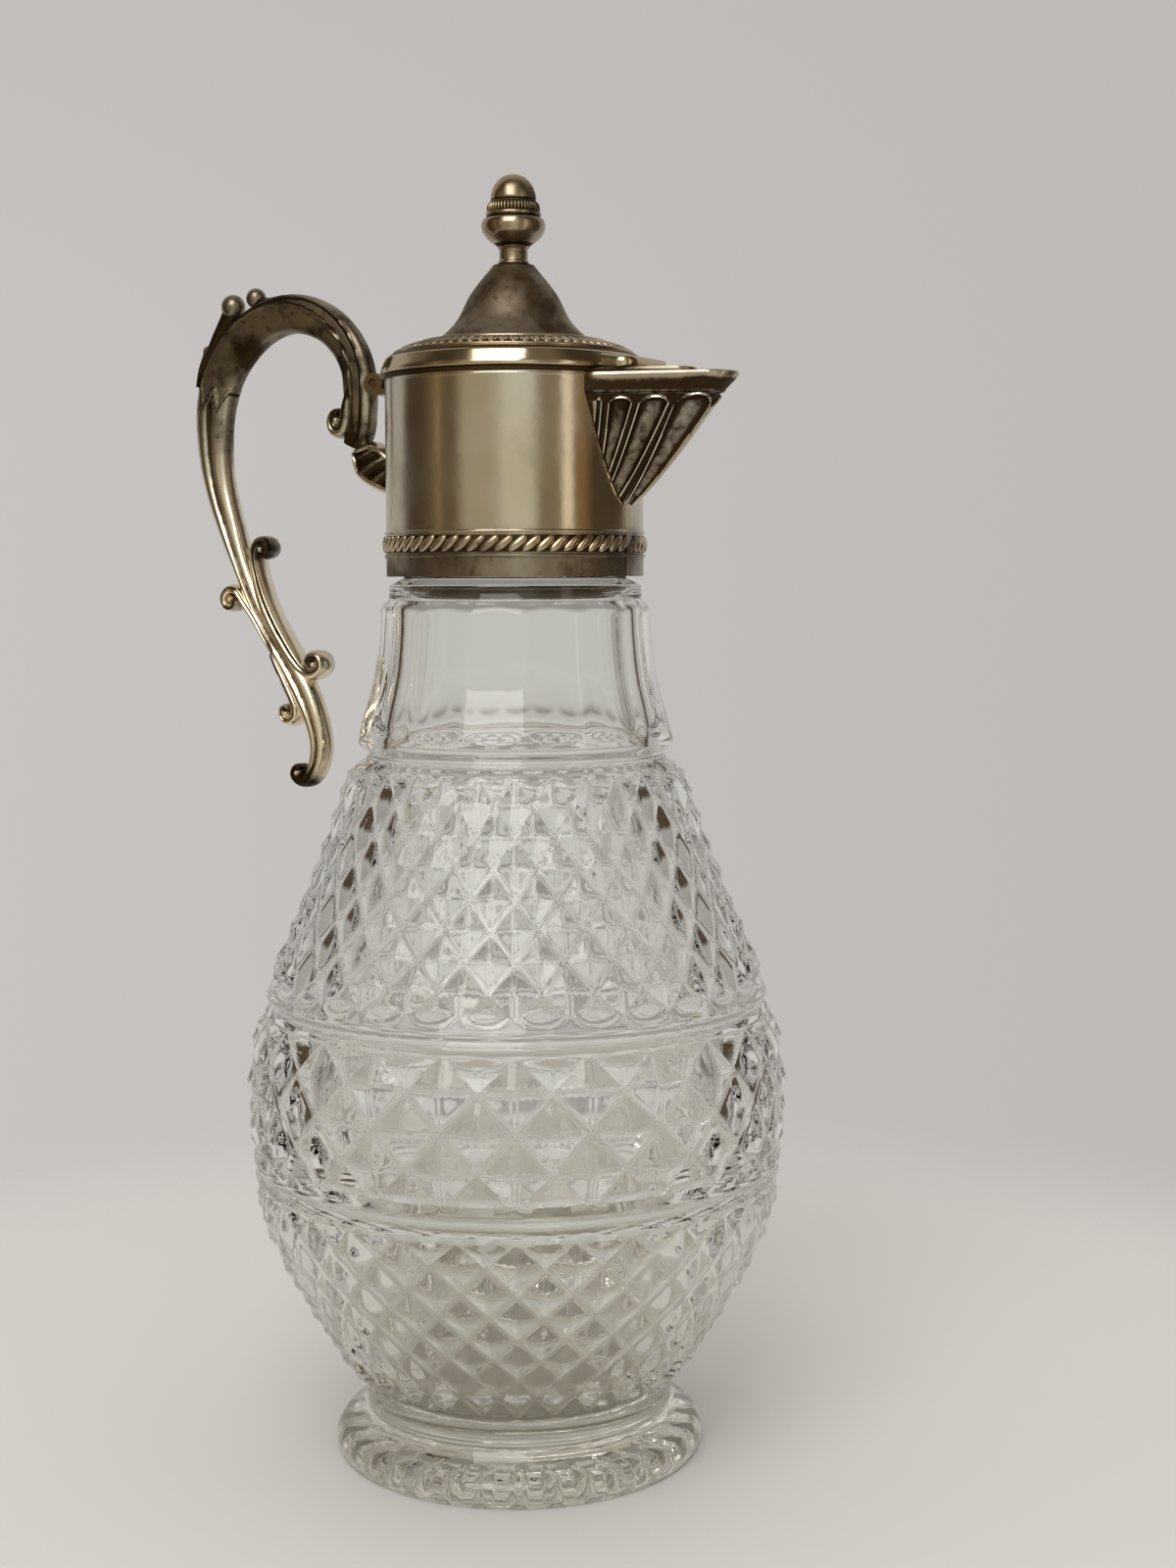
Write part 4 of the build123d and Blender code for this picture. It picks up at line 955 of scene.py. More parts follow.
    def swell(self, first: float, second: float) -> float:
        """Height of a polished diamond, 1 at its point, from two coordinates that are 1 at its edges."""
        away = (abs(first) ** self.ridge_power + abs(second) ** self.ridge_power) ** (1 / self.ridge_power)
        return 1 - min(away, 1.0) ** self.face_power

    def belt(self, skin: Skin, cut: CutField) -> None:
        """Adds a field of diamonds, with half diamonds along both rims.

        Args:
            skin: the skin that gets it.
            cut: the field.
        """
        samples = 801
        curve = bow(cut.start, cut.start_pull, cut.end_pull, cut.end, samples)
        total = cut.rows - 1 + 2 * self.rim_share
        pitch = 360 / cut.around
        parts = self.columns // cut.around

        def spot(level: float, step: float, lift: float) -> int:
            """Adds a vertex of the field.

            Args:
                level: rows up the field.
                step: diamonds round it.
                lift: distance outwards from the cuts.

            Returns:
                The vertex number.
            """
            place = min(max((level - 1 + self.rim_share) / total, 0.0), 1.0) * (samples - 1)
            index = min(int(place), samples - 2)
            low, high = curve[index], curve[index + 1]
            behind, ahead = curve[max(index - 2, 0)], curve[min(index + 3, samples - 1)]
            run = math.dist(behind, ahead)
            radius = mix(low[0], high[0], place - index) + lift * (ahead[1] - behind[1]) / run
            height = mix(low[1], high[1], place - index) - lift * (ahead[0] - behind[0]) / run
            return skin.add(polar(radius, self.turn + step * pitch, height))

        def patch(spots: list[list[int]]) -> None:
            """Adds the faces of a diamond, or of a half one whose lines shrink."""
            for low, high in zip(spots, spots[1:]):
                for index in range(len(high) - 1):
                    skin.faces.append((low[index], low[index + 1], high[index + 1], high[index]))
                if len(low) > len(high):
                    skin.faces.append((low[-2], low[-1], high[-1]))

        for row in range(1, cut.rows + 1):
            shift = 0.5 * (row % 2)
            for step in range(cut.around):
                spots = []
                for i in range(parts + 1):
                    line = []
                    for j in range(parts + 1):
                        u, v = i / parts, j / parts
                        lift = cut.depth * self.swell(2 * u - 1, 2 * v - 1)
                        line.append(spot(row + u + v - 1, step + shift + 0.5 + 0.5 * (v - u), lift))
                    spots.append(line)
                patch(spots)
        top_shift = 0.5 * ((cut.rows + 1) % 2)
        for edge, inward, shift in ((1 - self.rim_share, 1, 0.0), (cut.rows + self.rim_share, -1, top_shift)):
            for step in range(cut.around):
                spots = []
                for i in range(parts + 1):
                    line = []
                    for j in range(parts + 1 - i):
                        v = i / parts
                        along = step + shift + 0.5 * v + j / parts
                        aside = (2 * (along - step - shift) - 1) / max(1 - v, 1e-6) if v < 1 else 0.0
                        side = (1 - v) * (1 - abs(aside))
                        lift = cut.depth * self.rim_rise * ease(v, 0.0, 0.3) * (1 - (1 - side) ** 1.6)
                        line.append(spot(edge + inward * v * self.rim_share, along, lift))
                    spots.append(line)
                patch(spots)

    def band(self, skin: Skin, profile: Sequence[Pair]) -> None:
        """Adds a smooth band."""
        skin.climb(skin.ring(*profile[0], self.columns, self.turn), profile[1:], self.turn)

    def panel_ring(
        self, skin: Skin, apothem: float, height: float, roundness: float, bulge: float
    ) -> list[int]:
        """Adds a ring that lies between a circle and a polygon of flat panels.

        Args:
            skin: the skin that gets the ring.
            apothem: distance of the panels from the axis.
            height: height of the ring.
            roundness: 1 for a circle, 0 for flat panels.
            bulge: radius of the circle.

        Returns:
            The vertex numbers.
        """
        pitch = 360 / self.panels
        corner = apothem / math.cos(math.radians(pitch / 2)) - 0.15
        made = []
        for column in range(self.columns):
            angle = 360 * column / self.columns
            away = (angle + pitch / 2) % pitch - pitch / 2
            flat = min(apothem / math.cos(math.radians(away)), corner)
            radius = mix(flat, min(bulge, flat), roundness)
            made.append(skin.add(polar(radius, self.turn + angle, height)))
        return made

    def neck(self, skin: Skin, lowest: list[int]) -> list[int]:
        """Adds the neck, from the upper field to the stem's top.

        Args:
            skin: the skin that gets it.
            lowest: the ring on top of the upper field.

        Returns:
            The last ring.
        """
        groove = bow((36.9, 157.8), (36.2, 159.6), (33.7, 159.4), (33.7, 161.1), 6)[1:]
        groove += bow((33.7, 161.1), (33.7, 162.3), (35.8, 162.4), (35.8, 163.8), 7)[1:]
        rows = [skin.climb(lowest, groove, self.turn)]
        knots = flow(self.panel_knots, 15)
        for step in range(1, 6):
            apothem, height = (mix(*ends, step / 5) for ends in zip((36.5, 163.8), knots[0]))
            rows.append(self.panel_ring(skin, apothem, height, self.round_share, mix(35.8, 35.15, step / 5)))
        rows += [self.panel_ring(skin, apothem, height, 0.0, 0.0) for apothem, height in knots]
        for bulge, height in self.shoulder:
            rows.append(self.panel_ring(skin, self.shoulder_apothem, height, self.round_share, bulge))
        skin.stack(rows)
        return skin.climb(rows[-1], rounded(self.stem, 3)[1:], self.turn)

    def inside(self, skin: Skin, highest: list[int]) -> None:
        """Adds the bore and the hollow down to its floor.

        Args:
            skin: the skin that gets them.
            highest: the ring at the stem's top.
        """
        wall = [(self.bore, 207.0), (self.bore, 202.5)]
        for radius, height in reversed(flow(self.hollow, 72)):
            wall.append((radius + self.hollow_spare * ease(radius, 24.0, 32.0), height))
        skin.cap(skin.climb(highest, wall, self.turn), (0.0, 0.0, self.hollow[0][1]))

    def build(self) -> None:
        """Makes the glass."""
        skin = Skin()
        self.foot(skin)
        lower_band = [(59.2, 64.0), (60.2, 65.58)]
        lower_band += bow((60.2, 65.58), (58.9, 66.4), (58.8, 67.9), (60.5, 68.74), 8)[1:]
        lower_band += [(60.62, 69.0), (60.62, 70.0), (60.5, 70.3), (59.6, 71.9)]
        upper_band = [(57.3, 102.3), (57.35, 102.7), (57.3, 103.08)]
        upper_band += bow((57.3, 103.08), (55.5, 104.0), (55.4, 105.6), (57.2, 106.67), 8)[1:]
        upper_band += [(57.15, 107.1), (56.8, 107.9), (55.6, 110.1)]
        self.band(skin, lower_band)
        self.band(skin, upper_band)
        neck_low = skin.ring(36.9, 157.8, self.columns, self.turn)
        for cut in (self.lower, self.middle, self.upper):
            self.belt(skin, cut)
        self.inside(skin, self.neck(skin, neck_low))
        piece = skin.make("cut_glass", 48.0)
        place(piece, self.finishes.glass, Body.JUG, Slot.GLASS, "glass_body")


@dataclass
class Bands(Assembly):
    """Rope band on the mount, and the mount's rounded upper edge.

    Attributes:
        height: height of the rope's middle.
        strands: number of strands in the rope.
        lean: slant of the strands, in degrees from level.
        gap_angle: angle kept free at each side of the seam, in degrees.
        break_angle: the same for the core under the strands.
        columns: vertices round the core.
    """

    height: float = 208.0
    strands: int = 60
    lean: float = 39.0
    gap_angle: float = 4.3
    break_angle: float = 1.75
    columns: int = 220

    def build(self) -> None:
        """Makes the rope band and the mount's edge."""
        core = Skin()
        half = ((28.6, 206.15), (29.05, 206.15), (29.3, 206.8))
        profile = half + tuple((radius, 2 * self.height - z) for radius, z in reversed(half))
        reach = 360 - 2 * self.break_angle
        angles = [self.break_angle + reach * column / self.columns for column in range(self.columns + 1)]
        rows = [[core.add(polar(radius, angle, z), 1.0) for angle in angles] for radius, z in profile]
        core.stack(rows, closed=False)
        core.bridge(rows[-1], rows[0], closed=False)
        core.faces.append(tuple(row[0] for row in rows))
        core.faces.append(tuple(row[-1] for row in reversed(rows)))
        place(core.make("rope_core", 40.0), self.finishes.band, Body.JUG, Slot.SILVER, "rope_band")
        strands = self.copies.make(
            "rope_strands", Count=self.strands, Radius=29.12 * MM, Height=self.height * MM,
            First_Angle=math.radians(self.gap_angle),
            Angle_Step=math.radians((360 - 2 * self.gap_angle) / (self.strands - 1)),
            Lean=math.radians(self.lean), Tilt=0.0, Half_Size=(0.78 * MM, 2.75 * MM, 0.98 * MM),
            Size_Spread=0.03, Seed=4, Segments=14, Rings=10, Finish=self.finishes.band,
        )
        place(strands, self.finishes.band, Body.JUG, Slot.SILVER)
        edge = Skin()
        lathe(edge, wire_profile(28.55, 243.9, 0.55, 0.5), self.columns, closed=True)
        place(edge.make("mount_edge", 80.0), self.finishes.collar, Body.JUG, Slot.SILVER)


@dataclass(frozen=True)
class Flute:
    """One flute of the spout, between two edges that run down towards the mount.

    Attributes:
        far: distance of the far edge from the centre line at the top, in millimetres.
        far_slope: how much that distance shrinks down the whole spout.
        near: distance of the near edge.
        near_slope: how much that distance shrinks.
        depth: depth of the scoop.
        top: share of the height at which the arch ends.
        arch: how much lower the arch's corners are.
    """

    far: float
    far_slope: float
    near: float
    near_slope: float
    depth: float
    top: float
    arch: float


@dataclass
class Spout(Assembly):
    """The fluted beak.

    Attributes:
        base: height of its lowest point.
        rise: height from there to its lip.
        half_width: half its width at the lip.
        reach: distance of its tip from the mount at the lip.
        noses: radius of its nose at the bottom and at the lip.
        flutes: the flutes of one side, from the nose to the mount.
        rows: rows of vertices up the spout.
        rim: height of the raised rims.
        rim_width: width of the rims.
        rim_foot: width of the step at their feet.
        floor: height of the lands against the smooth surface.
        slope: drop of a place for each step outwards.
    """

    base: float = 215.8
    rise: float = 24.7
    half_width: float = 13.6
    reach: float = 23.0
    noses: Pair = (1.5, 5.0)
    flutes: tuple[Flute, ...] = (
        Flute(10.0, 8.2, 0.9, 0.6, 1.35, 0.965, 0.11),
        Flute(17.8, 10.8, 11.0, 6.9, 1.2, 0.945, 0.06),
        Flute(24.6, 16.2, 19.2, 11.2, 1.0, 0.94, 0.05),
        Flute(27.4, 16.5, 26.0, 16.5, 0.4, 0.93, 0.03),
    )
    rows: int = 120
    rim: float = 0.24
    rim_width: float = 0.3
    rim_foot: float = 0.22
    floor: float = -0.42
    slope: float = 0.62

    def outline(self, share: float, inset: float = 0.0) -> Triple:
        """Half width, tip and nose radius of the plan at a share of the height."""
        half_width = self.half_width * math.sqrt(share) - inset
        tip = MOUNT_RADIUS + self.reach * share**0.85 - inset
        return half_width, tip, mix(*self.noses, share) - 0.5 * inset

    def edge(self, share: float, inset: float) -> tuple[Pair, Pair, float, float, float]:
        """Measures of the plan.

        Args:
            share: share of the height.
            inset: distance inwards of the whole plan.

        Returns:
            Root and end of the flank, centre and radius of the nose, and half the plan's length.
        """
        half_width, tip, nose = self.outline(share, inset)
        root_x = math.sqrt(MOUNT_RADIUS**2 - half_width**2)
        centre = tip - nose
        angle = nose_angle(root_x, half_width, centre, nose)
        end = (centre + nose * math.cos(angle), nose * math.sin(angle))
        length = nose * angle + math.dist(end, (root_x, half_width))
        return (root_x, half_width), end, centre, nose, length

    def spot(self, share: float, away: float, lift: float, inset: float = 0.0) -> Point:
        """Place on the right side of the spout.

        Args:
            share: share of the height.
            away: distance along the plan from the centre line.
            lift: distance outwards from the smooth surface.
            inset: distance inwards of the whole plan.

        Returns:
            The place.
        """
        root, end, centre, nose, length = self.edge(share, inset)
        round_length = length - math.dist(end, root)
        away = min(away, length)
        if away <= round_length:
            angle = away / nose
            x, y = centre + nose * math.cos(angle), nose * math.sin(angle)
            out = (math.cos(angle), math.sin(angle))
        else:
            part = (away - round_length) / (length - round_length)
            x, y = mix(end[0], root[0], part), mix(end[1], root[1], part)
            run = math.dist(end, root)
            out = ((root[1] - end[1]) / run, -(root[0] - end[0]) / run)
        z = self.base + share * self.rise
        return (x + out[0] * lift, -(y + out[1] * lift), z - lift * self.slope)

    def lip(self) -> Skin:
        """Makes the flared band round the spout's top.

        Returns:
            The band's skin.
        """
        skin = Skin()
        levels = (
            (240.52, 0.0, 0.0, 1.0), (241.0, 0.14, 0.0, 1.0), (241.8, 0.42, 0.0, 0.8),
            (242.7, 0.76, 0.0, 0.55), (243.5, 1.0, 0.0, 0.0), (244.1, 1.03, 0.0, 0.0),
            (244.4, 1.0, 0.25, 0.0), (244.4, 0.95, 1.7, 0.3), (243.9, 0.9, 2.0, 0.6),
            (240.52, 0.0, 2.0, 1.0),
        )
        rows = []
        for height, flare, inset, depth in levels:
            half_width, tip, nose = self.outline(1.0, inset)
            tip, nose = tip + 3.0 * flare, nose + 0.8 * flare
            root_x = math.sqrt((MOUNT_RADIUS + 0.02) ** 2 - half_width**2)
            centre = tip - nose
            turns = [nose_angle(root_x, half_width, centre, nose) * (1 - k / 12) for k in range(12)]
            round_end = [(centre + nose * math.cos(turn), nose * math.sin(turn)) for turn in turns]
            end = round_end[0]
            side = [(mix(root_x, end[0], k / 40), mix(half_width, end[1], k / 40)) for k in range(40)]
            side += round_end
            outline = side + [(tip, 0.0)] + [(x, -y) for x, y in reversed(side)]
            row = []
            for index, (x, y) in enumerate(outline):
                corner = ease(3.5 - 0.6 * min(index, len(outline) - 1 - index), 0.0, 3.5)
                row.append(skin.add((x, y, height), max(depth, 0.8 * corner)))
            rows.append(row)
        skin.stack(rows + rows[:1], closed=False)
        for row_end in (0, -1):
            skin.faces.append(tuple(row[row_end] for row in rows))
        return skin

    def columns(self) -> list[tuple[int, float, float, float]]:
        """Lays out the columns of one side.

        Returns:
            For each column its flute's number or -1, the share across it, the distance and its slope.
        """
        made: list[tuple[int, float, float, float]] = [(-1, 0.0, 0.0, 0.0)]
        last, last_slope = 0.0, 0.0
        for number, flute in enumerate(self.flutes):
            for step in (1, 2):
                t = step / 3
                made.append((-1, 0.0, mix(last, flute.near, t), mix(last_slope, flute.near_slope, t)))
            shares = [-0.05, -0.02, 0.0, 0.02, 0.045, 0.075, 0.11]
            shares += [0.16 + 0.68 * k / 9 for k in range(10)]
            shares += [0.89, 0.925, 0.955, 0.98, 1.0, 1.02, 1.05]
            for t in shares:
                slope = mix(flute.near_slope, flute.far_slope, t)
                made.append((number, t, mix(flute.near, flute.far, t), slope))
            last, last_slope = flute.far, flute.far_slope
        made.append((-1, 0.0, 29.5, 17.0))
        made.append((-1, 0.0, 60.0, 0.0))
        return made

    def relief(self, number: int, across: float, share: float) -> tuple[float, float]:
        """Height and recess value of the surface.

        Args:
            number: number of the flute, or -1 on a land.
            across: share across the flute.
            share: share of the height.

        Returns:
            The lift over the smooth surface and the recess value.
        """
        land = self.floor * ease(0.985 - share, 0.0, 0.02)
        if number < 0:
            return land, 0.95 if share < 0.95 else 0.6
        flute = self.flutes[number]
        width = max(flute.far - flute.near + (flute.far_slope - flute.near_slope) * (share - 0.95), 0.4)
        line = flute.top - flute.arch * min(abs(2 * across - 1), 1.0) ** 2.8
        side = min(across, 1 - across) * width
        above = (line - share) * self.rise
        inside = min(side, above)
        if inside < -self.rim_foot:
            return land, 0.9 if share < 0.955 else 0.55
        if inside < 0.0:
            t = 1 + inside / self.rim_foot
            return mix(self.floor, self.rim, ease(t, 0.0, 1.0)), 0.8 * (1 - t)
        if inside < self.rim_width:
            return self.rim, 0.0
        half = 0.5 * width
        t = min((inside - self.rim_width) / max(half - self.rim_width, 0.2), 1.0)
        scoop = math.sqrt(max(1 - (1 - t) ** 2, 0.0))
        depth = flute.depth * min(width / max(flute.far - flute.near, 0.1), 1.0)
        # Mild tarnish over the flute, plus painted shade: the flute is darker next to its rims, towards the
        # lip and on its far side.
        shade = 0.52 + 0.4 * max(0.0, 1 - t * 2.4) + 0.3 * ease(share, 0.8, 0.95) * (1 - t)
        shade += 0.45 * ease(across, 0.66, 0.92)
        return mix(self.rim, -depth, scoop), min(shade, 1.0)

    def build(self) -> None:
        """Makes the spout."""
        skin = Skin()
        one_side = self.columns()
        both = [(column, -1.0) for column in reversed(one_side)] + [(column, 1.0) for column in one_side[1:]]
        outer, inner = [], []
        for row in range(self.rows):
            t = row / (self.rows - 1)
            share = 0.03 + 0.97 * (1 - (1 - t) ** 1.35)
            length = self.edge(share, 0.0)[4]
            inner_share = mix(0.12, 1.0, t)
            inner_length = self.edge(inner_share, 2.0)[4]
            front, back = [], []
            for (number, across, distance, slope), side in both:
                away = min(max(distance - slope * (0.95 - share), 0.0), length)
                lift, shade = self.relief(number, across, share)
                fade = ease(length - away, 0.0, 0.5)
                x, y, z = self.spot(share, away, lift * fade, 0.0)
                if row == self.rows - 1:
                    z = self.base + self.rise
                front.append(skin.add((x, y * side, z), mix(1.0, shade, fade)))
                x, y, z = self.spot(inner_share, inner_length * away / length, 0.0, 2.0)
                back.append(skin.add((x, y * side, z), 0.5))
            outer.append(front)
            inner.append(back)
        skin.stack(outer, closed=False)
        for low, high in zip(inner, inner[1:]):
            skin.bridge(high, low, closed=False)
        skin.bridge(outer[-1], inner[-1], closed=False)
        skin.bridge(inner[0], outer[0], closed=False)
        for low_out, high_out, low_in, high_in in zip(outer, outer[1:], inner, inner[1:]):
            skin.faces.append((low_out[0], high_out[0], high_in[0], low_in[0]))
            skin.faces.append((low_out[-1], low_in[-1], high_in[-1], high_out[-1]))
        piece = skin.make("fluted_spout", 50.0)
        place(piece, self.finishes.spout, Body.JUG, Slot.SILVER, "spout")
        place(self.lip().make("flared_lip", 40.0), self.finishes.lip, Body.JUG, Slot.SILVER, "spout_lip")


@dataclass
class LidBorder(Assembly):
    """Gadrooned border on the lid's slope.

    Attributes:
        bumps: number of gadroons.
        radius: distance of their middles from the axis.
        height: height of their middles.
    """

    bumps: int = 67
    radius: float = 24.05
    height: float = 251.45

    def build(self) -> None:
        """Makes the border and its two thin rings."""
        base = Skin()
        profile = [(26.4, 250.15), (26.2, 250.65), (21.9, 252.3), (21.3, 252.25), (21.5, 251.9)]
        lathe(base, profile, 200, closed=True, depth=lambda radius, height: 1.0)
        place(base.make("border_base", 50.0), self.finishes.band, Body.LID, Slot.SILVER, "lid_border")
        bumps = self.copies.make(
            "border_bumps", Count=self.bumps, Radius=self.radius * MM, Height=self.height * MM,
            First_Angle=0.0, Angle_Step=2 * math.pi / self.bumps, Lean=0.0, Tilt=math.radians(20.0),
            Half_Size=(2.2 * MM, 1.1 * MM, 0.62 * MM), Size_Spread=0.02, Seed=7, Segments=12, Rings=8,
            Finish=self.finishes.band,
        )
        place(bumps, self.finishes.band, Body.LID, Slot.SILVER)
        wires = (("border_inner_ring", 20.9, 252.55, 0.5), ("border_outer_ring", 26.75, 250.35, 0.35))
        for name, radius, height, size in wires:
            ring = Skin()
            lathe(ring, wire_profile(radius, height, size, size), 200, closed=True)
            place(ring.make(name, 80.0), self.finishes.lid, Body.LID, Slot.SILVER)


@dataclass
class Finial(Assembly):
    """The acorn, with its turned stem and milled band.

    Attributes:
        ribs: number of ribs round the milled band.
        profile: radius, height and rounding of the corners, from the stud's foot to the tip.
    """

    ribs: int = 46
    profile: tuple[Point, ...] = (
        (1.5, 263.7, 0.0), (1.5, 270.05, 0.0), (3.5, 270.05, 0.2), (3.55, 270.7, 0.25),
        (3.2, 271.1, 0.3), (3.12, 273.3, 0.5), (3.65, 274.05, 0.3), (3.75, 274.4, 0.15),
        (5.5, 275.5, 1.1), (6.95, 277.2, 1.4), (7.25, 278.8, 0.8), (6.85, 280.0, 0.4),
        (6.25, 280.3, 0.2), (5.85, 280.6, 0.15), (6.25, 281.0, 0.2), (6.2, 281.5, 0.2),
        (5.5, 281.75, 0.1), (5.05, 283.75, 0.1), (5.3, 284.0, 0.12), (4.85, 284.25, 0.1),
        (5.1, 284.55, 0.2), (5.0, 285.7, 1.0), (4.3, 287.6, 1.3), (2.9, 289.2, 1.0), (1.2, 289.9, 0.5),
        (0.0, 290.0, 0.0),
    )

    @staticmethod
    def recess(radius: float, height: float) -> float:
        """Recess value of a place on the acorn.

        Args:
            radius: distance from the axis.
            height: height of the place.

        Returns:
            The value, from 0 to 1.
        """
        band = 1.0 if 281.6 < height < 283.9 and radius < 5.6 else 0.0
        neck = 0.5 * (1 - min(abs(height - 272.3) / 1.2, 1.0))
        grooves = (270.2, 274.3, 280.6, 284.2)
        seat = 1.0 if min(abs(height - groove) for groove in grooves) < 0.22 else 0.0
        return max(band, neck, seat)

    def build(self) -> None:
        """Makes the finial."""
        skin = Skin()
        lathe(skin, [(0.0, 263.7)] + rounded(self.profile, 4), 96, depth=self.recess)
        place(skin.make("acorn", 40.0), self.finishes.finial, Body.LID, Slot.SILVER, "finial")
        ribs = self.copies.make(
            "band_ribs", Count=self.ribs, Radius=5.45 * MM, Height=282.7 * MM, First_Angle=0.0,
            Angle_Step=2 * math.pi / self.ribs, Lean=0.0, Tilt=-math.radians(12.0),
            Half_Size=(0.5 * MM, 0.31 * MM, 1.05 * MM), Size_Spread=0.05, Seed=11, Segments=8, Rings=8,
            Finish=self.finishes.finial,
        )
        place(ribs, self.finishes.finial, Body.LID, Slot.SILVER)


@dataclass
class Lid(Assembly):
    """Domed lid: its shell, the short tongue and the under-plate.

    Attributes:
        crown: radius and height of the knots from the border to the crown.
        wall: thickness of the shell.
        tongue_half_width: half width of the short tongue.
        tongue_reach: distance of its end from the axis.
        tongue_corner: radius of its corners.
        seat: height at which the shell rests on the plate.
    """

    crown: tuple[Pair, ...] = ((21.4, 252.1), (18.0, 253.0), (13.1, 257.3), (9.6, 263.7), (4.6, 270.0))
    wall: float = 1.0
    tongue_half_width: float = 10.0
    tongue_reach: float = 34.8
    tongue_corner: float = 3.6
    seat: float = 245.6

    @staticmethod
    def recess(radius: float, height: float) -> float:
        """Recess value of a place on the shell.

        Args:
            radius: distance from the axis.
            height: height of the place.

        Returns:
            The value, from 0 to 1.
        """
        if height > 269.8 and radius > 0.1:
            return 0.5
        if radius > 27.8 and 249.2 < height < 249.8:
            return 0.9
        return 0.75 * ease(0.8 - abs(height - 252.4), 0.0, 0.8) if radius > 17.0 else 0.0

    def shell(self) -> Skin:
        """Makes the turned shell with its rolled rim.

        Returns:
            The shell's skin.
        """
        skin = Skin()
        bell = [tuple(spot) for spot in flow(self.crown, 40)]
        rim = rounded(
            (
                (28.3, self.seat, 0.0), (29.7, self.seat, 0.25), (29.95, 246.1, 0.3), (29.85, 246.6, 0.3),
                (28.85, 249.1, 0.5), (28.3, 249.35, 0.2), (28.0, 249.75, 0.2), (26.6, 250.2, 0.0),
            ),
            6,
        )
        outside = rim + bell + [(0.0, 270.0)]
        inside = [(0.0, 268.6), (3.6, 268.6)]
        for radius, height in reversed(bell[:-3]):
            inside.append((radius - 0.8 * self.wall, height - 0.6 * self.wall))
        inside += [(25.9, 249.2), (28.3, 248.0)]
        lathe(skin, outside + inside, 200, closed=True, depth=self.recess)
        return skin

    def tongue(self) -> Skin:
        """Makes the short tongue, which slopes from the rim and has a rolled edge.

        Returns:
            The tongue's skin.
        """
        skin = Skin()
        half, corner, reach = self.tongue_half_width, self.tongue_corner, self.tongue_reach
        outline = [(24.0, -half), (27.0, -half)]
        for sign in (-1, 1):
            turns = range(9) if sign < 0 else range(8, -1, -1)
            for step in turns:
                angle = math.radians(90 * step / 8)
                x = reach - corner + corner * math.sin(angle)
                outline.append((x, sign * (half - corner + corner * math.cos(angle))))
        outline += [(27.0, half), (24.0, half)]
        levels = ((0.0, 0.25), (0.25, 0.0), (1.2, 0.0), (1.9, 0.15), (2.35, 0.6), (2.45, 1.2), (2.2, 2.0))
        rows = []
        for rise, inset in levels:
            row = []
            for x, y in outline:
                centre_x = min(x, reach - corner)
                centre_y = math.copysign(min(abs(y), half - corner), y)
                run = math.hypot(x - centre_x, y - centre_y) or 1.0
                out = ((x - centre_x) / run, (y - centre_y) / run)
                slope = 1.25 * max(0.0, (31.0 - x) / 7.0) if rise > 1.0 else 0.0
                depth = 0.5 if rise > 2.0 and inset > 1.5 else 0.0
                spot = (x - out[0] * inset, y - out[1] * inset, self.seat + rise + slope)
                row.append(skin.add(spot, depth))
            rows.append(row)
        skin.stack(rows)
        skin.faces.append(tuple(reversed(rows[0])))
        top = rows[-1]
        count = len(top)
        for index in range(count // 2 - 1):
            skin.faces.append((top[index], top[index + 1], top[count - 2 - index], top[count - 1 - index]))
        return skin

    def plate(self, radius: float, bore: float, half: float, tip: float, nose: float) -> Skin:
        """Makes the under-plate: a ring with the long tongue that covers the spout, the ring painted dark as
        the shadow under the lid.

        Args:
            radius: outer radius of the ring.
            bore: radius of its opening.
            half: half width of the tongue at the ring.
            tip: distance of the tongue's end from the axis.
            nose: radius of the tongue's end.

        Returns:
            The plate's skin.
        """
        skin = Skin()
        root_x = math.sqrt(radius**2 - half**2)
        centre = tip - nose
        angle = nose_angle(root_x, half, centre, nose)
        outline = []
        start = math.atan2(half, root_x)
        # Painted shadow: the ring's vertices get recess 1 and turn dark, as the gap between the lid and the
        # mount; the tongue stays bright.
        for step in range(161):
            turn = start + (2 * math.pi - 2 * start) * step / 160
            outline.append((radius * math.cos(turn), radius * math.sin(turn), 1.0))
        for step in range(25):
            turn = -angle + 2 * angle * step / 24
            outline.append((centre + nose * math.cos(turn), nose * math.sin(turn), 0.0))
        rows = []
        for height, inset in ((244.5, 0.15), (244.65, 0.0), (245.45, 0.0), (self.seat, 0.15)):
            row = []
            for x, y, depth in outline:
                away = math.hypot(x, y)
                row.append(skin.add((x - inset * x / away, y - inset * y / away, height), depth))
            rows.append(row)
        # Painted shade: the bore is dark too.
        for height in (self.seat, 244.5):
            row = []
            for x, y, depth in outline:
                turn = math.atan2(y, x)
                row.append(skin.add((bore * math.cos(turn), bore * math.sin(turn), height), 1.0))
            rows.append(row)
        skin.stack(rows + rows[:1])
        return skin

    def build(self) -> None:
        """Makes the lid."""
        place(self.shell().make("lid_dome", 40.0), self.finishes.rim, Body.LID, Slot.SILVER, "lid_shell")
        place(self.tongue().make("lid_short_tongue", 60.0), self.finishes.rim, Body.LID, Slot.SILVER)
        plate = self.plate(radius=28.8, bore=24.0, half=11.4, tip=45.2, nose=4.2)
        place(plate.make("lid_under_plate", 40.0), self.finishes.lid, Body.LID, Slot.SILVER, "lid_plate")


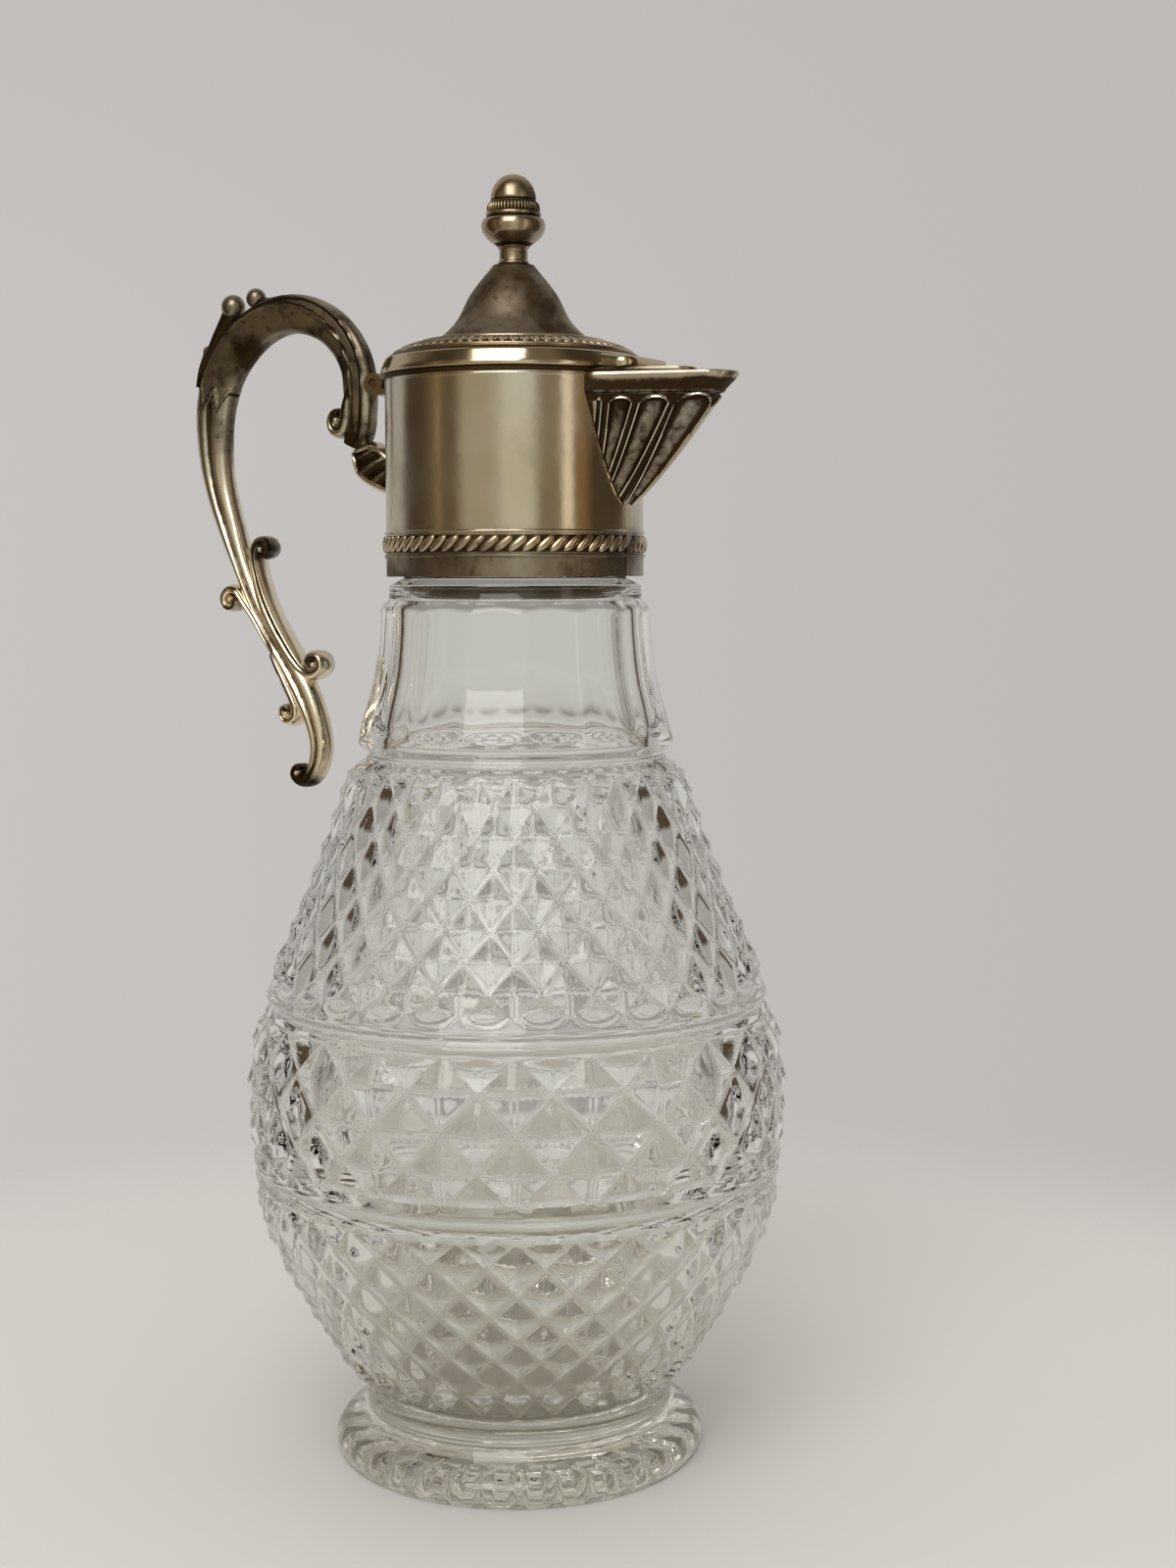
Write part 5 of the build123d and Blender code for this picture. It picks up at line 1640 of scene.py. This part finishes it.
@dataclass
class Handle(Assembly):
    """Cast scroll handle. Its places are distances outwards from the mount and up from its top.

    Attributes:
        shank: outward, rise and width of the stations of the main stem.
        strands: outward, rise and half width along the leaves that curl away from the stem.
        beads: outward, rise and radius of the beads on the arch.
        eyes: outward, rise and radius of the buttons in the curls.
        necks: outward, rise and half width of the leaves that carry the beads.
        leaf: outward, rise, half height and half width of the leaf at the root.
        half_thickness: half the thickness of the stem across the plane of the handle.
        eye_half: the same for the buttons.
        rounds: vertices round a section.
    """

    shank: tuple[Point, ...] = (
        (14.6, -13.0, 5.0), (13.3, -10.0, 7.2), (12.8, -5.0, 8.0), (12.9, 0.0, 8.3), (13.6, 5.2, 8.2),
        (16.3, 10.5, 8.3), (21.2, 15.2, 8.6), (27.6, 18.0, 9.0), (33.5, 18.5, 9.4), (40.3, 16.8, 10.2),
        (47.2, 12.4, 11.0), (52.7, 5.6, 11.2), (55.4, -2.4, 10.6), (55.9, -10.4, 9.6),
        (54.9, -19.9, 8.2), (51.6, -30.7, 7.0), (47.6, -40.9, 5.4), (43.2, -50.4, 5.0),
        (38.7, -57.9, 5.8), (34.2, -64.2, 6.4), (30.2, -70.5, 6.8), (27.2, -76.5, 5.8),
        (25.4, -82.9, 5.2), (26.0, -87.9, 4.8), (28.2, -91.6, 3.9), (30.7, -92.3, 3.1),
        (32.4, -90.9, 2.6), (31.8, -89.3, 2.2), (30.6, -89.7, 2.0),
    )
    strands: tuple[tuple[Point, ...], ...] = (
        (
            (24.9, -64.0, 0.9), (26.7, -65.2, 1.0), (27.8, -63.7, 1.1), (26.7, -62.2, 1.2),
            (24.6, -62.6, 1.3), (24.0, -64.9, 1.4), (26.2, -66.6, 1.45), (28.9, -66.0, 1.5),
            (31.6, -63.7, 1.8), (35.0, -59.4, 2.1), (38.4, -54.2, 2.2), (41.2, -48.4, 2.0),
            (42.8, -43.0, 1.6), (43.4, -39.4, 1.35), (43.2, -36.8, 1.3), (41.9, -35.0, 1.3),
            (40.1, -35.1, 1.25), (39.4, -36.9, 1.15), (40.5, -38.2, 1.05), (41.7, -37.2, 0.9),
        ),
        (
            (37.0, -62.5, 0.7), (40.2, -58.2, 1.2), (43.6, -53.2, 1.4), (46.4, -49.7, 1.4),
            (48.6, -47.0, 1.35), (50.9, -46.6, 1.35), (52.4, -48.3, 1.3), (51.9, -50.3, 1.2),
            (50.0, -50.6, 1.05), (49.3, -49.1, 0.9), (50.4, -48.6, 0.8),
        ),
        (
            (38.6, -61.2, 0.7), (36.2, -65.6, 1.2), (33.6, -70.4, 1.4), (31.7, -74.2, 1.35),
            (31.6, -76.8, 1.3), (33.3, -78.1, 1.2), (35.2, -77.2, 1.1), (35.4, -75.2, 1.0),
            (33.9, -74.7, 0.9), (33.3, -76.0, 0.8),
        ),
        (
            (14.0, 1.0, 0.9), (15.4, -3.6, 1.6), (16.0, -7.2, 1.9), (17.2, -9.4, 1.8),
            (19.3, -9.0, 1.7), (19.9, -6.9, 1.5), (18.8, -5.3, 1.3), (17.4, -6.2, 1.1),
        ),
    )
    eyes: tuple[Point, ...] = (
        (25.8, -64.3, 1.25), (41.0, -36.8, 1.2), (50.3, -48.9, 1.1), (34.0, -76.2, 1.1),
        (18.3, -7.0, 1.5), (31.0, -90.4, 1.1),
    )
    beads: tuple[Point, ...] = ((49.8, 21.3, 2.9), (42.9, 22.9, 2.4), (57.3, 10.9, 1.6))
    necks: tuple[tuple[Point, ...], ...] = (
        ((58.6, 2.0, 0.8), (57.3, 8.0, 1.2), (54.4, 13.6, 1.7), (51.8, 17.6, 2.1), (49.9, 20.6, 2.4)),
        ((28.5, 21.6, 0.7), (33.5, 22.2, 1.0), (38.5, 21.4, 1.5), (41.6, 21.4, 1.9), (42.9, 22.3, 2.0)),
        ((59.6, 2.5, 0.5), (58.9, 6.5, 0.9), (57.6, 10.2, 1.0)),
    )
    leaf: tuple[Quad, ...] = (
        (-0.3, -21.0, 4.4, 3.6), (2.5, -20.6, 4.6, 4.0), (5.0, -19.4, 5.0, 4.4),
        (7.5, -18.0, 5.2, 4.6), (10.0, -16.6, 4.9, 4.4), (12.0, -15.4, 3.9, 3.6),
        (13.4, -14.6, 2.4, 2.6), (14.0, -14.2, 1.0, 1.2),
    )
    half_thickness: float = 3.1
    eye_half: float = 3.45
    rounds: int = 72

    @staticmethod
    def spot(outward: float, rise: float, side: float = 0.0) -> Point:
        """Place in the jug's frame.

        Args:
            outward: distance outwards from the mount's wall.
            rise: height over the mount's top.
            side: distance out of the handle's plane.

        Returns:
            The place in millimetres.
        """
        return (-MOUNT_RADIUS - outward, side, MOUNT_TOP + rise)

    def sweep(
        self,
        skin: Skin,
        path: Sequence[Sequence[float]],
        thickness: Callable[[float], float],
        relief: Callable[[float, float], tuple[float, float]],
        power: float = 2.5,
    ) -> None:
        """Adds a closed stem along a path in the handle's plane.

        Args:
            skin: the skin that gets the stem.
            path: outward, rise and half width of each station.
            thickness: half thickness at a share of the path.
            relief: lift and recess value at a share of the path and a share across.
            power: squareness of the section, 2 for an ellipse.
        """
        rows = []
        last = len(path) - 1
        for index, (outward, rise, half_width) in enumerate(path):
            normal = across_path(path, index)
            share = index / last
            half = thickness(share)
            row = []
            for column in range(self.rounds):
                angle = 2 * math.pi * column / self.rounds
                cosine, sine = math.cos(angle), math.sin(angle)
                across = math.copysign(abs(cosine) ** (2 / power), cosine)
                proud = math.copysign(abs(sine) ** (2 / power), sine)
                lift, depth = relief(share, across)
                side = proud * (half + lift * min(1.0, abs(proud) * 1.6))
                place_x = outward + normal[0] * across * half_width
                place_z = rise + normal[1] * across * half_width
                row.append(skin.add(self.spot(place_x, place_z, side), depth))
            rows.append(row)
        skin.stack(rows)
        skin.cap(rows[0], self.spot(*path[0][:2]), 0.6)
        skin.cap(rows[-1], self.spot(*path[-1][:2]), 0.6)

    def ball(
        self, skin: Skin, outward: float, rise: float, radius: float, half: float, depth: float = 0.0
    ) -> None:
        """Adds a rounded button that stands out of the handle's plane on both sides.

        Args:
            skin: the skin that gets it.
            outward: distance of its middle from the mount's wall.
            rise: height of its middle over the mount's top.
            radius: its radius in the handle's plane.
            half: how far it stands out of that plane.
            depth: recess value round its edge.
        """
        rings, columns = 14, 28
        rows = []
        for tilt in (math.pi * ring / rings for ring in range(1, rings)):
            away, side = radius * math.sin(tilt), half * math.cos(tilt)
            row = []
            for turn in (2 * math.pi * column / columns for column in range(columns)):
                spot = self.spot(outward + away * math.cos(turn), rise + away * math.sin(turn), side)
                row.append(skin.add(spot, depth * math.sin(tilt) ** 2))
            rows.append(row)
        skin.stack(rows)
        skin.cap(rows[0], self.spot(outward, rise, half))
        skin.cap(rows[-1], self.spot(outward, rise, -half))

    @staticmethod
    def line(across: float, middle: float, width: float) -> float:
        """Soft line: 1 at the middle of a width, falling to 0 outside."""
        return math.exp(-(((across - middle) / width) ** 2))

    def stem_thickness(self, share: float) -> float:
        """Half thickness of the stem at a share of its length."""
        return self.half_thickness * (1 - 0.12 * ease(share, 0.9, 1.0))

    def stem_relief(self, share: float, across: float) -> tuple[float, float]:
        """Ridges of the arch, the leaf edge under it and the groove of the lower stem.

        Args:
            share: share of the stem's length.
            across: place across it, from -1 to 1.

        Returns:
            The lift and the recess value.
        """
        limit = 0.396 + 0.03 * (1 - min(abs(abs(across) - 0.42) / 0.42, 1.0))
        upper = 1 - ease(share, limit - 0.003, limit + 0.003)
        lower = ease(share, 0.405, 0.43)
        fade = 1 - ease(share, 0.93, 0.98)
        first = mix(0.5, 0.9, ease(share, 0.05, 0.24))
        second = mix(-0.3, 0.78, ease(share, 0.04, 0.36))
        ridge = 0.42 * self.line(across, first, 0.06) + 0.46 * self.line(across, second, 0.055)
        hollow = -0.42 * (1 - abs(across) ** 3)
        edge = 0.45 * self.line(share, limit - 0.005, 0.003)
        groove = -1.0 * self.line(across, 0.04, 0.16) - 0.15
        lift = upper * (ridge + hollow) + edge + lower * fade * groove
        valley = 0.75 * self.line(across, first - 0.12, 0.06) + 0.8 * self.line(across, second + 0.1, 0.05)
        depth = upper * valley + lower * 0.9 * self.line(across, 0.04, 0.12)
        # Painted shade: a thin dark line just under the leaf edge.
        depth += 0.55 * self.line(share, limit + 0.002, 0.003)
        depth += 0.5 * (1 - ease(share, 0.0, 0.08)) + 0.8 * ease(share, 0.93, 0.97)
        return lift, min(depth, 1.0)

    @staticmethod
    def strand_thickness(share: float) -> float:
        """Half thickness of a leaf, which is thinner at its ends."""
        return 3.2 - 1.3 * (1 - ease(min(share, 1 - share), 0.0, 0.05))

    def strand_relief(self, share: float, across: float) -> tuple[float, float]:
        """Thin rim along a leaf."""
        rim = 0.28 * self.line(across, 0.62, 0.14) - 0.3 * self.line(across, 0.25, 0.22)
        ends = max(1 - ease(share, 0.0, 0.3), ease(share, 0.72, 1.0))
        return rim, min(0.75 * self.line(across, 0.3, 0.2) + 0.55 * ends, 1.0)

    def root(self, skin: Skin) -> None:
        """Adds the leaf that joins the handle to the mount.

        Args:
            skin: the skin that gets it.
        """
        places = flow(self.leaf, 60)
        rows = []
        for index, (outward, rise, half_height, half_width) in enumerate(places):
            normal = across_path(places, index)
            share = index / 59
            room = 0.62 * (1 - ease(share, 0.7, 0.95))
            row = []
            for column in range(self.rounds):
                angle = 2 * math.pi * column / self.rounds
                up, side = math.cos(angle), math.sin(angle)
                inside = ease(room + 0.08 - abs(up), 0.0, 0.16)
                rim = self.line(abs(up), room + 0.2, 0.13)
                curls = 0.5 + 0.5 * math.sin(share * 26 + 5 * up)
                lift = (0.4 * rim - 0.9 * inside + 0.55 * inside * curls) * min(abs(side) * 2, 1.0)
                groove = inside * (1 - 0.7 * curls)
                place_x = max(outward + normal[0] * up * half_height, -0.2)
                place_z = rise + normal[1] * up * half_height
                spot = self.spot(place_x, place_z, side * (half_width + lift))
                row.append(skin.add(spot, min(groove + 0.1, 1.0)))
            rows.append(row)
        skin.stack(rows)
        skin.cap(rows[0], self.spot(*places[0][:2]), 1.0)
        skin.cap(rows[-1], self.spot(*places[-1][:2]), 1.0)

    def build(self) -> None:
        """Makes the handle."""
        stem = Skin()
        path = [(a, b, width / 2) for a, b, width in flow(self.shank, 420)]
        self.sweep(stem, path, self.stem_thickness, self.stem_relief)
        place(stem.make("handle_stem", 45.0), self.finishes.handle, Body.JUG, Slot.SILVER, "handle")
        leaves = Skin()
        for strand in self.strands:
            self.sweep(leaves, flow(strand, 160), self.strand_thickness, self.strand_relief, 2.2)
        for outward, rise, radius in self.eyes:
            self.ball(leaves, outward, rise, radius, self.eye_half, 0.6)
        place(leaves.make("handle_leaves", 45.0), self.finishes.handle, Body.JUG, Slot.SILVER)
        beads = Skin()
        for outward, rise, radius in self.beads:
            self.ball(beads, outward, rise, radius, radius)
        for neck in self.necks:
            self.sweep(
                beads,
                flow(neck, 60),
                lambda share: mix(2.6, 1.7, share),
                lambda share, across: (0.0, 0.35 + 0.4 * share),
                2.0,
            )
        place(beads.make("handle_beads", 45.0), self.finishes.handle, Body.JUG, Slot.SILVER)
        root = Skin()
        self.root(root)
        place(root.make("handle_root", 45.0), self.finishes.handle, Body.JUG, Slot.SILVER)


class TurnedSolids(Assembly):
    """The solids that keep their CAD shape, with their finishes."""

    def build(self) -> None:
        """Assigns the finishes."""
        chosen = {
            "plaster_bedding": self.finishes.plaster,
            "neck_mount": self.finishes.collar,
            "lower_wire": self.finishes.collar,
            "upper_wire": self.finishes.collar,
            "hinge_leaf": self.finishes.hinge,
            "hinge_pin": self.finishes.dark,
            "lid_knuckle": self.finishes.hinge,
            "finial_washer": self.finishes.dark,
            "finial_nut": self.finishes.dark,
        }
        for name, material in chosen.items():
            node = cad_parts[name]
            node.data.materials.clear()
            node.data.materials.append(material)
            log.info("%s keeps its solid", name)


@dataclass(frozen=True)
class SoftLight:
    """A rectangular soft light that looks at the jug.

    Attributes:
        name: name of the light.
        azimuth: direction from the jug, in degrees from the camera's side, positive to its right.
        elevation: height above the horizon, in degrees.
        distance: distance from the jug's middle, in metres.
        width: its width in metres.
        height: its height in metres.
        power: its power in watts.
        colour: its colour.
    """

    name: str
    azimuth: float
    elevation: float
    distance: float
    width: float
    height: float
    power: float
    colour: Colour = (1.0, 0.98, 0.95)

    def build(self, camera_azimuth: float, middle: Vector) -> bpy.types.Object:
        """Makes the light.

        Args:
            camera_azimuth: the camera's direction from the axis, in degrees.
            middle: the place that the light looks at.

        Returns:
            The light's object.
        """
        data = bpy.data.lights.new(self.name, "AREA")
        data.shape = "RECTANGLE"
        data.size = self.width
        data.size_y = self.height
        data.energy = self.power
        data.color = self.colour
        lamp = bpy.data.objects.new(self.name, data)
        bpy.context.scene.collection.objects.link(lamp)
        turn = math.radians(camera_azimuth + self.azimuth)
        lift = math.radians(self.elevation)
        away = Vector((math.cos(turn) * math.cos(lift), math.sin(turn) * math.cos(lift), math.sin(lift)))
        lamp.location = middle + away * self.distance
        lamp.rotation_mode = "QUATERNION"
        lamp.rotation_quaternion = away.to_track_quat("Z", "Y")
        return lamp


@dataclass(frozen=True)
class Wall:
    """A stretch of the room that the metal mirrors.

    Attributes:
        left: direction of its left end from the camera's side, in degrees, positive to the right.
        right: direction of its right end.
        soft: half width of its soft edges, in degrees.
        colour: its linear colour.
    """

    left: float
    right: float
    soft: float
    colour: Colour

    def share(self, turn: Value) -> Value:
        """Share of this wall in a direction."""
        begins = turn.step(self.left - self.soft, self.left + self.soft)
        return begins * (1.0 - turn.step(self.right - self.soft, self.right + self.soft))


@dataclass
class Studio:
    """Floor, surroundings, lights and the camera of the photograph.

    Attributes:
        camera_place: the camera's place in metres.
        camera_right: direction to the right in the picture.
        camera_up: direction upwards in the picture.
        lens: focal length for a long side of 36 mm.
        backdrop: linear colour behind the jug.
        floor_colour: linear colour of the floor.
        floor_reach: radius at which the floor has faded away, in metres.
        lights: the soft lights.
        walls: the walls of the room, each over the ones before it.
    """

    camera_place: Point = (0.25752, -0.42858, 0.20065)
    camera_right: Point = (0.873669, 0.486515, -0.002305)
    camera_up: Point = (-0.043536, 0.082897, 0.995607)
    lens: float = 50.45
    backdrop: Colour = (0.545, 0.525, 0.51)
    floor_colour: Colour = (0.8, 0.78, 0.765)
    floor_reach: float = 0.34
    lights: tuple[SoftLight, ...] = (SoftLight("window", -17.0, 43.0, 1.15, 0.7, 0.78, 5.7),)
    walls: tuple[Wall, ...] = (
        Wall(-84.0, -50.0, 6.0, (0.15, 0.11, 0.065)),
        Wall(-73.0, -69.5, 1.5, (0.5, 0.36, 0.18)),
        Wall(-50.0, -14.0, 6.0, (0.45, 0.41, 0.31)),
        Wall(-15.0, 21.0, 8.0, (0.7, 0.69, 0.6)),
        Wall(23.0, 41.0, 5.0, (0.28, 0.23, 0.16)),
        Wall(42.0, 53.0, 2.0, (1.1, 1.0, 0.83)),
        Wall(55.0, 68.0, 3.0, (0.26, 0.165, 0.07)),
    )

    def camera_azimuth(self) -> float:
        """Direction of the camera from the axis, in degrees."""
        return math.degrees(math.atan2(self.camera_place[1], self.camera_place[0]))

    def dimmed(self, share: float) -> Quad:
        """The backdrop's colour times a share."""
        return tone(*[share * value for value in self.backdrop])

    def camera(self) -> None:
        """Makes the camera of the photograph."""
        data = bpy.data.cameras.new("camera")
        data.sensor_fit = "AUTO"
        data.sensor_width = 36.0
        data.lens = self.lens
        data.clip_start = 0.02
        data.clip_end = 20.0
        data.dof.use_dof = False
        eye = bpy.data.objects.new("camera", data)
        right, up = Vector(self.camera_right), Vector(self.camera_up)
        back = right.cross(up)
        turned = Matrix((right, up, back)).transposed().to_4x4()
        eye.matrix_world = Matrix.Translation(self.camera_place) @ turned
        bpy.context.scene.collection.objects.link(eye)
        bpy.context.scene.camera = eye

    def surroundings(self) -> None:
        """Makes the world: a pale backdrop, and for reflections a room with dark sides."""
        world = bpy.data.worlds.new("room")
        bpy.context.scene.world = world
        world.use_nodes = True
        graph = Graph(world.node_tree)
        azimuth = math.radians(self.camera_azimuth())
        front, side = (math.cos(azimuth), math.sin(azimuth)), (-math.sin(azimuth), math.cos(azimuth))
        direction = graph.node("ShaderNodeTexCoord", output="Generated")
        split = graph.node("ShaderNodeSeparateXYZ", {0: direction}).socket.node.outputs
        x, y, z = (Value(graph, split[k]) for k in range(3))
        ahead = x * front[0] + y * front[1]
        across = x * side[0] + y * side[1]
        turn = graph.node("ShaderNodeMath", {0: across, 1: ahead}, operation="ARCTAN2") * (180 / math.pi)
        away = graph.node("ShaderNodeMath", {0: turn}, operation="ABSOLUTE")

        # What the metal mirrors
        room = tone(0.075, 0.052, 0.032)
        for wall in self.walls:
            room = graph.blend(wall.share(turn), room, tone(*wall.colour))
        room = graph.blend(away.step(108.0, 120.0), room, self.dimmed(0.92))
        hood = graph.blend(away.step(36.0, 66.0), tone(0.19, 0.15, 0.105), tone(0.06, 0.042, 0.024))
        hood = graph.blend(away.step(88.0, 120.0), hood, tone(0.5, 0.46, 0.41))
        room = graph.blend(z.step(0.42, 0.62), room, hood)

        # What shows through the glass
        through = graph.blend(away.step(140.0, 158.0), tone(0.4, 0.387, 0.362), tone(0.665, 0.65, 0.625))
        low = 1.0 - z.step(-0.34, -0.05)
        through = graph.blend(low * 0.9, through, tone(0.28, 0.265, 0.25))
        through = graph.blend(away.step(62.0, 100.0), tone(0.13, 0.115, 0.1), through)
        beside = away.step(90.0, 94.0) * (1.0 - away.step(127.0, 132.0))
        wood = graph.blend(z.step(0.09, 0.22), tone(0.06, 0.036, 0.02), tone(0.38, 0.37, 0.345))
        through = graph.blend(beside, through, wood)
        through = graph.blend(z.step(0.14, 0.5), through, tone(0.34, 0.32, 0.29))

        # What the camera sees behind the jug
        left = (across * -1.0).step(-0.35, 0.45)
        shade = graph.blend(left, self.dimmed(0.94), self.dimmed(1.07))
        shade = graph.blend(z.step(0.05, 0.42), shade, self.dimmed(0.93))

        path = graph.node("ShaderNodeLightPath").socket.node.outputs
        seen = Value(graph, path["Is Camera Ray"])
        mirrored = Value(graph, path["Is Glossy Ray"])
        refracted = Value(graph, path["Is Transmission Ray"])
        colour = graph.blend(mirrored, tone(0.64, 0.62, 0.59), room)
        colour = graph.blend(refracted, colour, through)
        colour = graph.blend(seen, colour, shade)
        backdrop = graph.node("ShaderNodeBackground", {"Color": colour, "Strength": 1.0})
        graph.surface(backdrop, world=True)

    def floor(self) -> None:
        """Makes a round floor that fades into the backdrop."""
        skin = Skin()
        level = -0.05
        radii = (60.0, 120.0, 200.0, 270.0, 1000 * self.floor_reach)
        rows = [skin.ring(radius, level, 96) for radius in radii]
        skin.cap(rows[0], (0.0, 0.0, level))
        skin.stack(rows)
        plane = skin.make("floor")
        material, graph = new_material("floor")
        away = graph.node("ShaderNodeVectorMath", {0: graph.spot()}, 1, operation="LENGTH")
        fade = 1.0 - away.step(0.62 * self.floor_reach, 0.98 * self.floor_reach)
        graph.surface(graph.principled(Base_Color=tone(*self.floor_colour), Roughness=0.62, Alpha=fade))
        plane.data.materials.append(material)

    def build(self) -> None:
        """Makes the whole studio."""
        bpy.context.scene.view_settings.view_transform = "Standard"
        self.camera()
        self.surroundings()
        self.floor()
        middle = Vector((0.0, 0.0, 0.13))
        for light in self.lights:
            light.build(self.camera_azimuth(), middle)


def main() -> None:
    """Builds the jug, its studio and its camera."""
    logging.basicConfig(level=logging.INFO, format="%(name)s: %(message)s")
    bpy.context.view_layer.update()
    finishes = Finishes()
    copies = RingOfCopies()
    for assembly in (CutGlass, Bands, Spout, Lid, LidBorder, Finial, Handle, TurnedSolids):
        assembly(finishes, copies).build()
    Studio().build()
    bpy.context.view_layer.update()


if __name__ == "__main__":
    main()
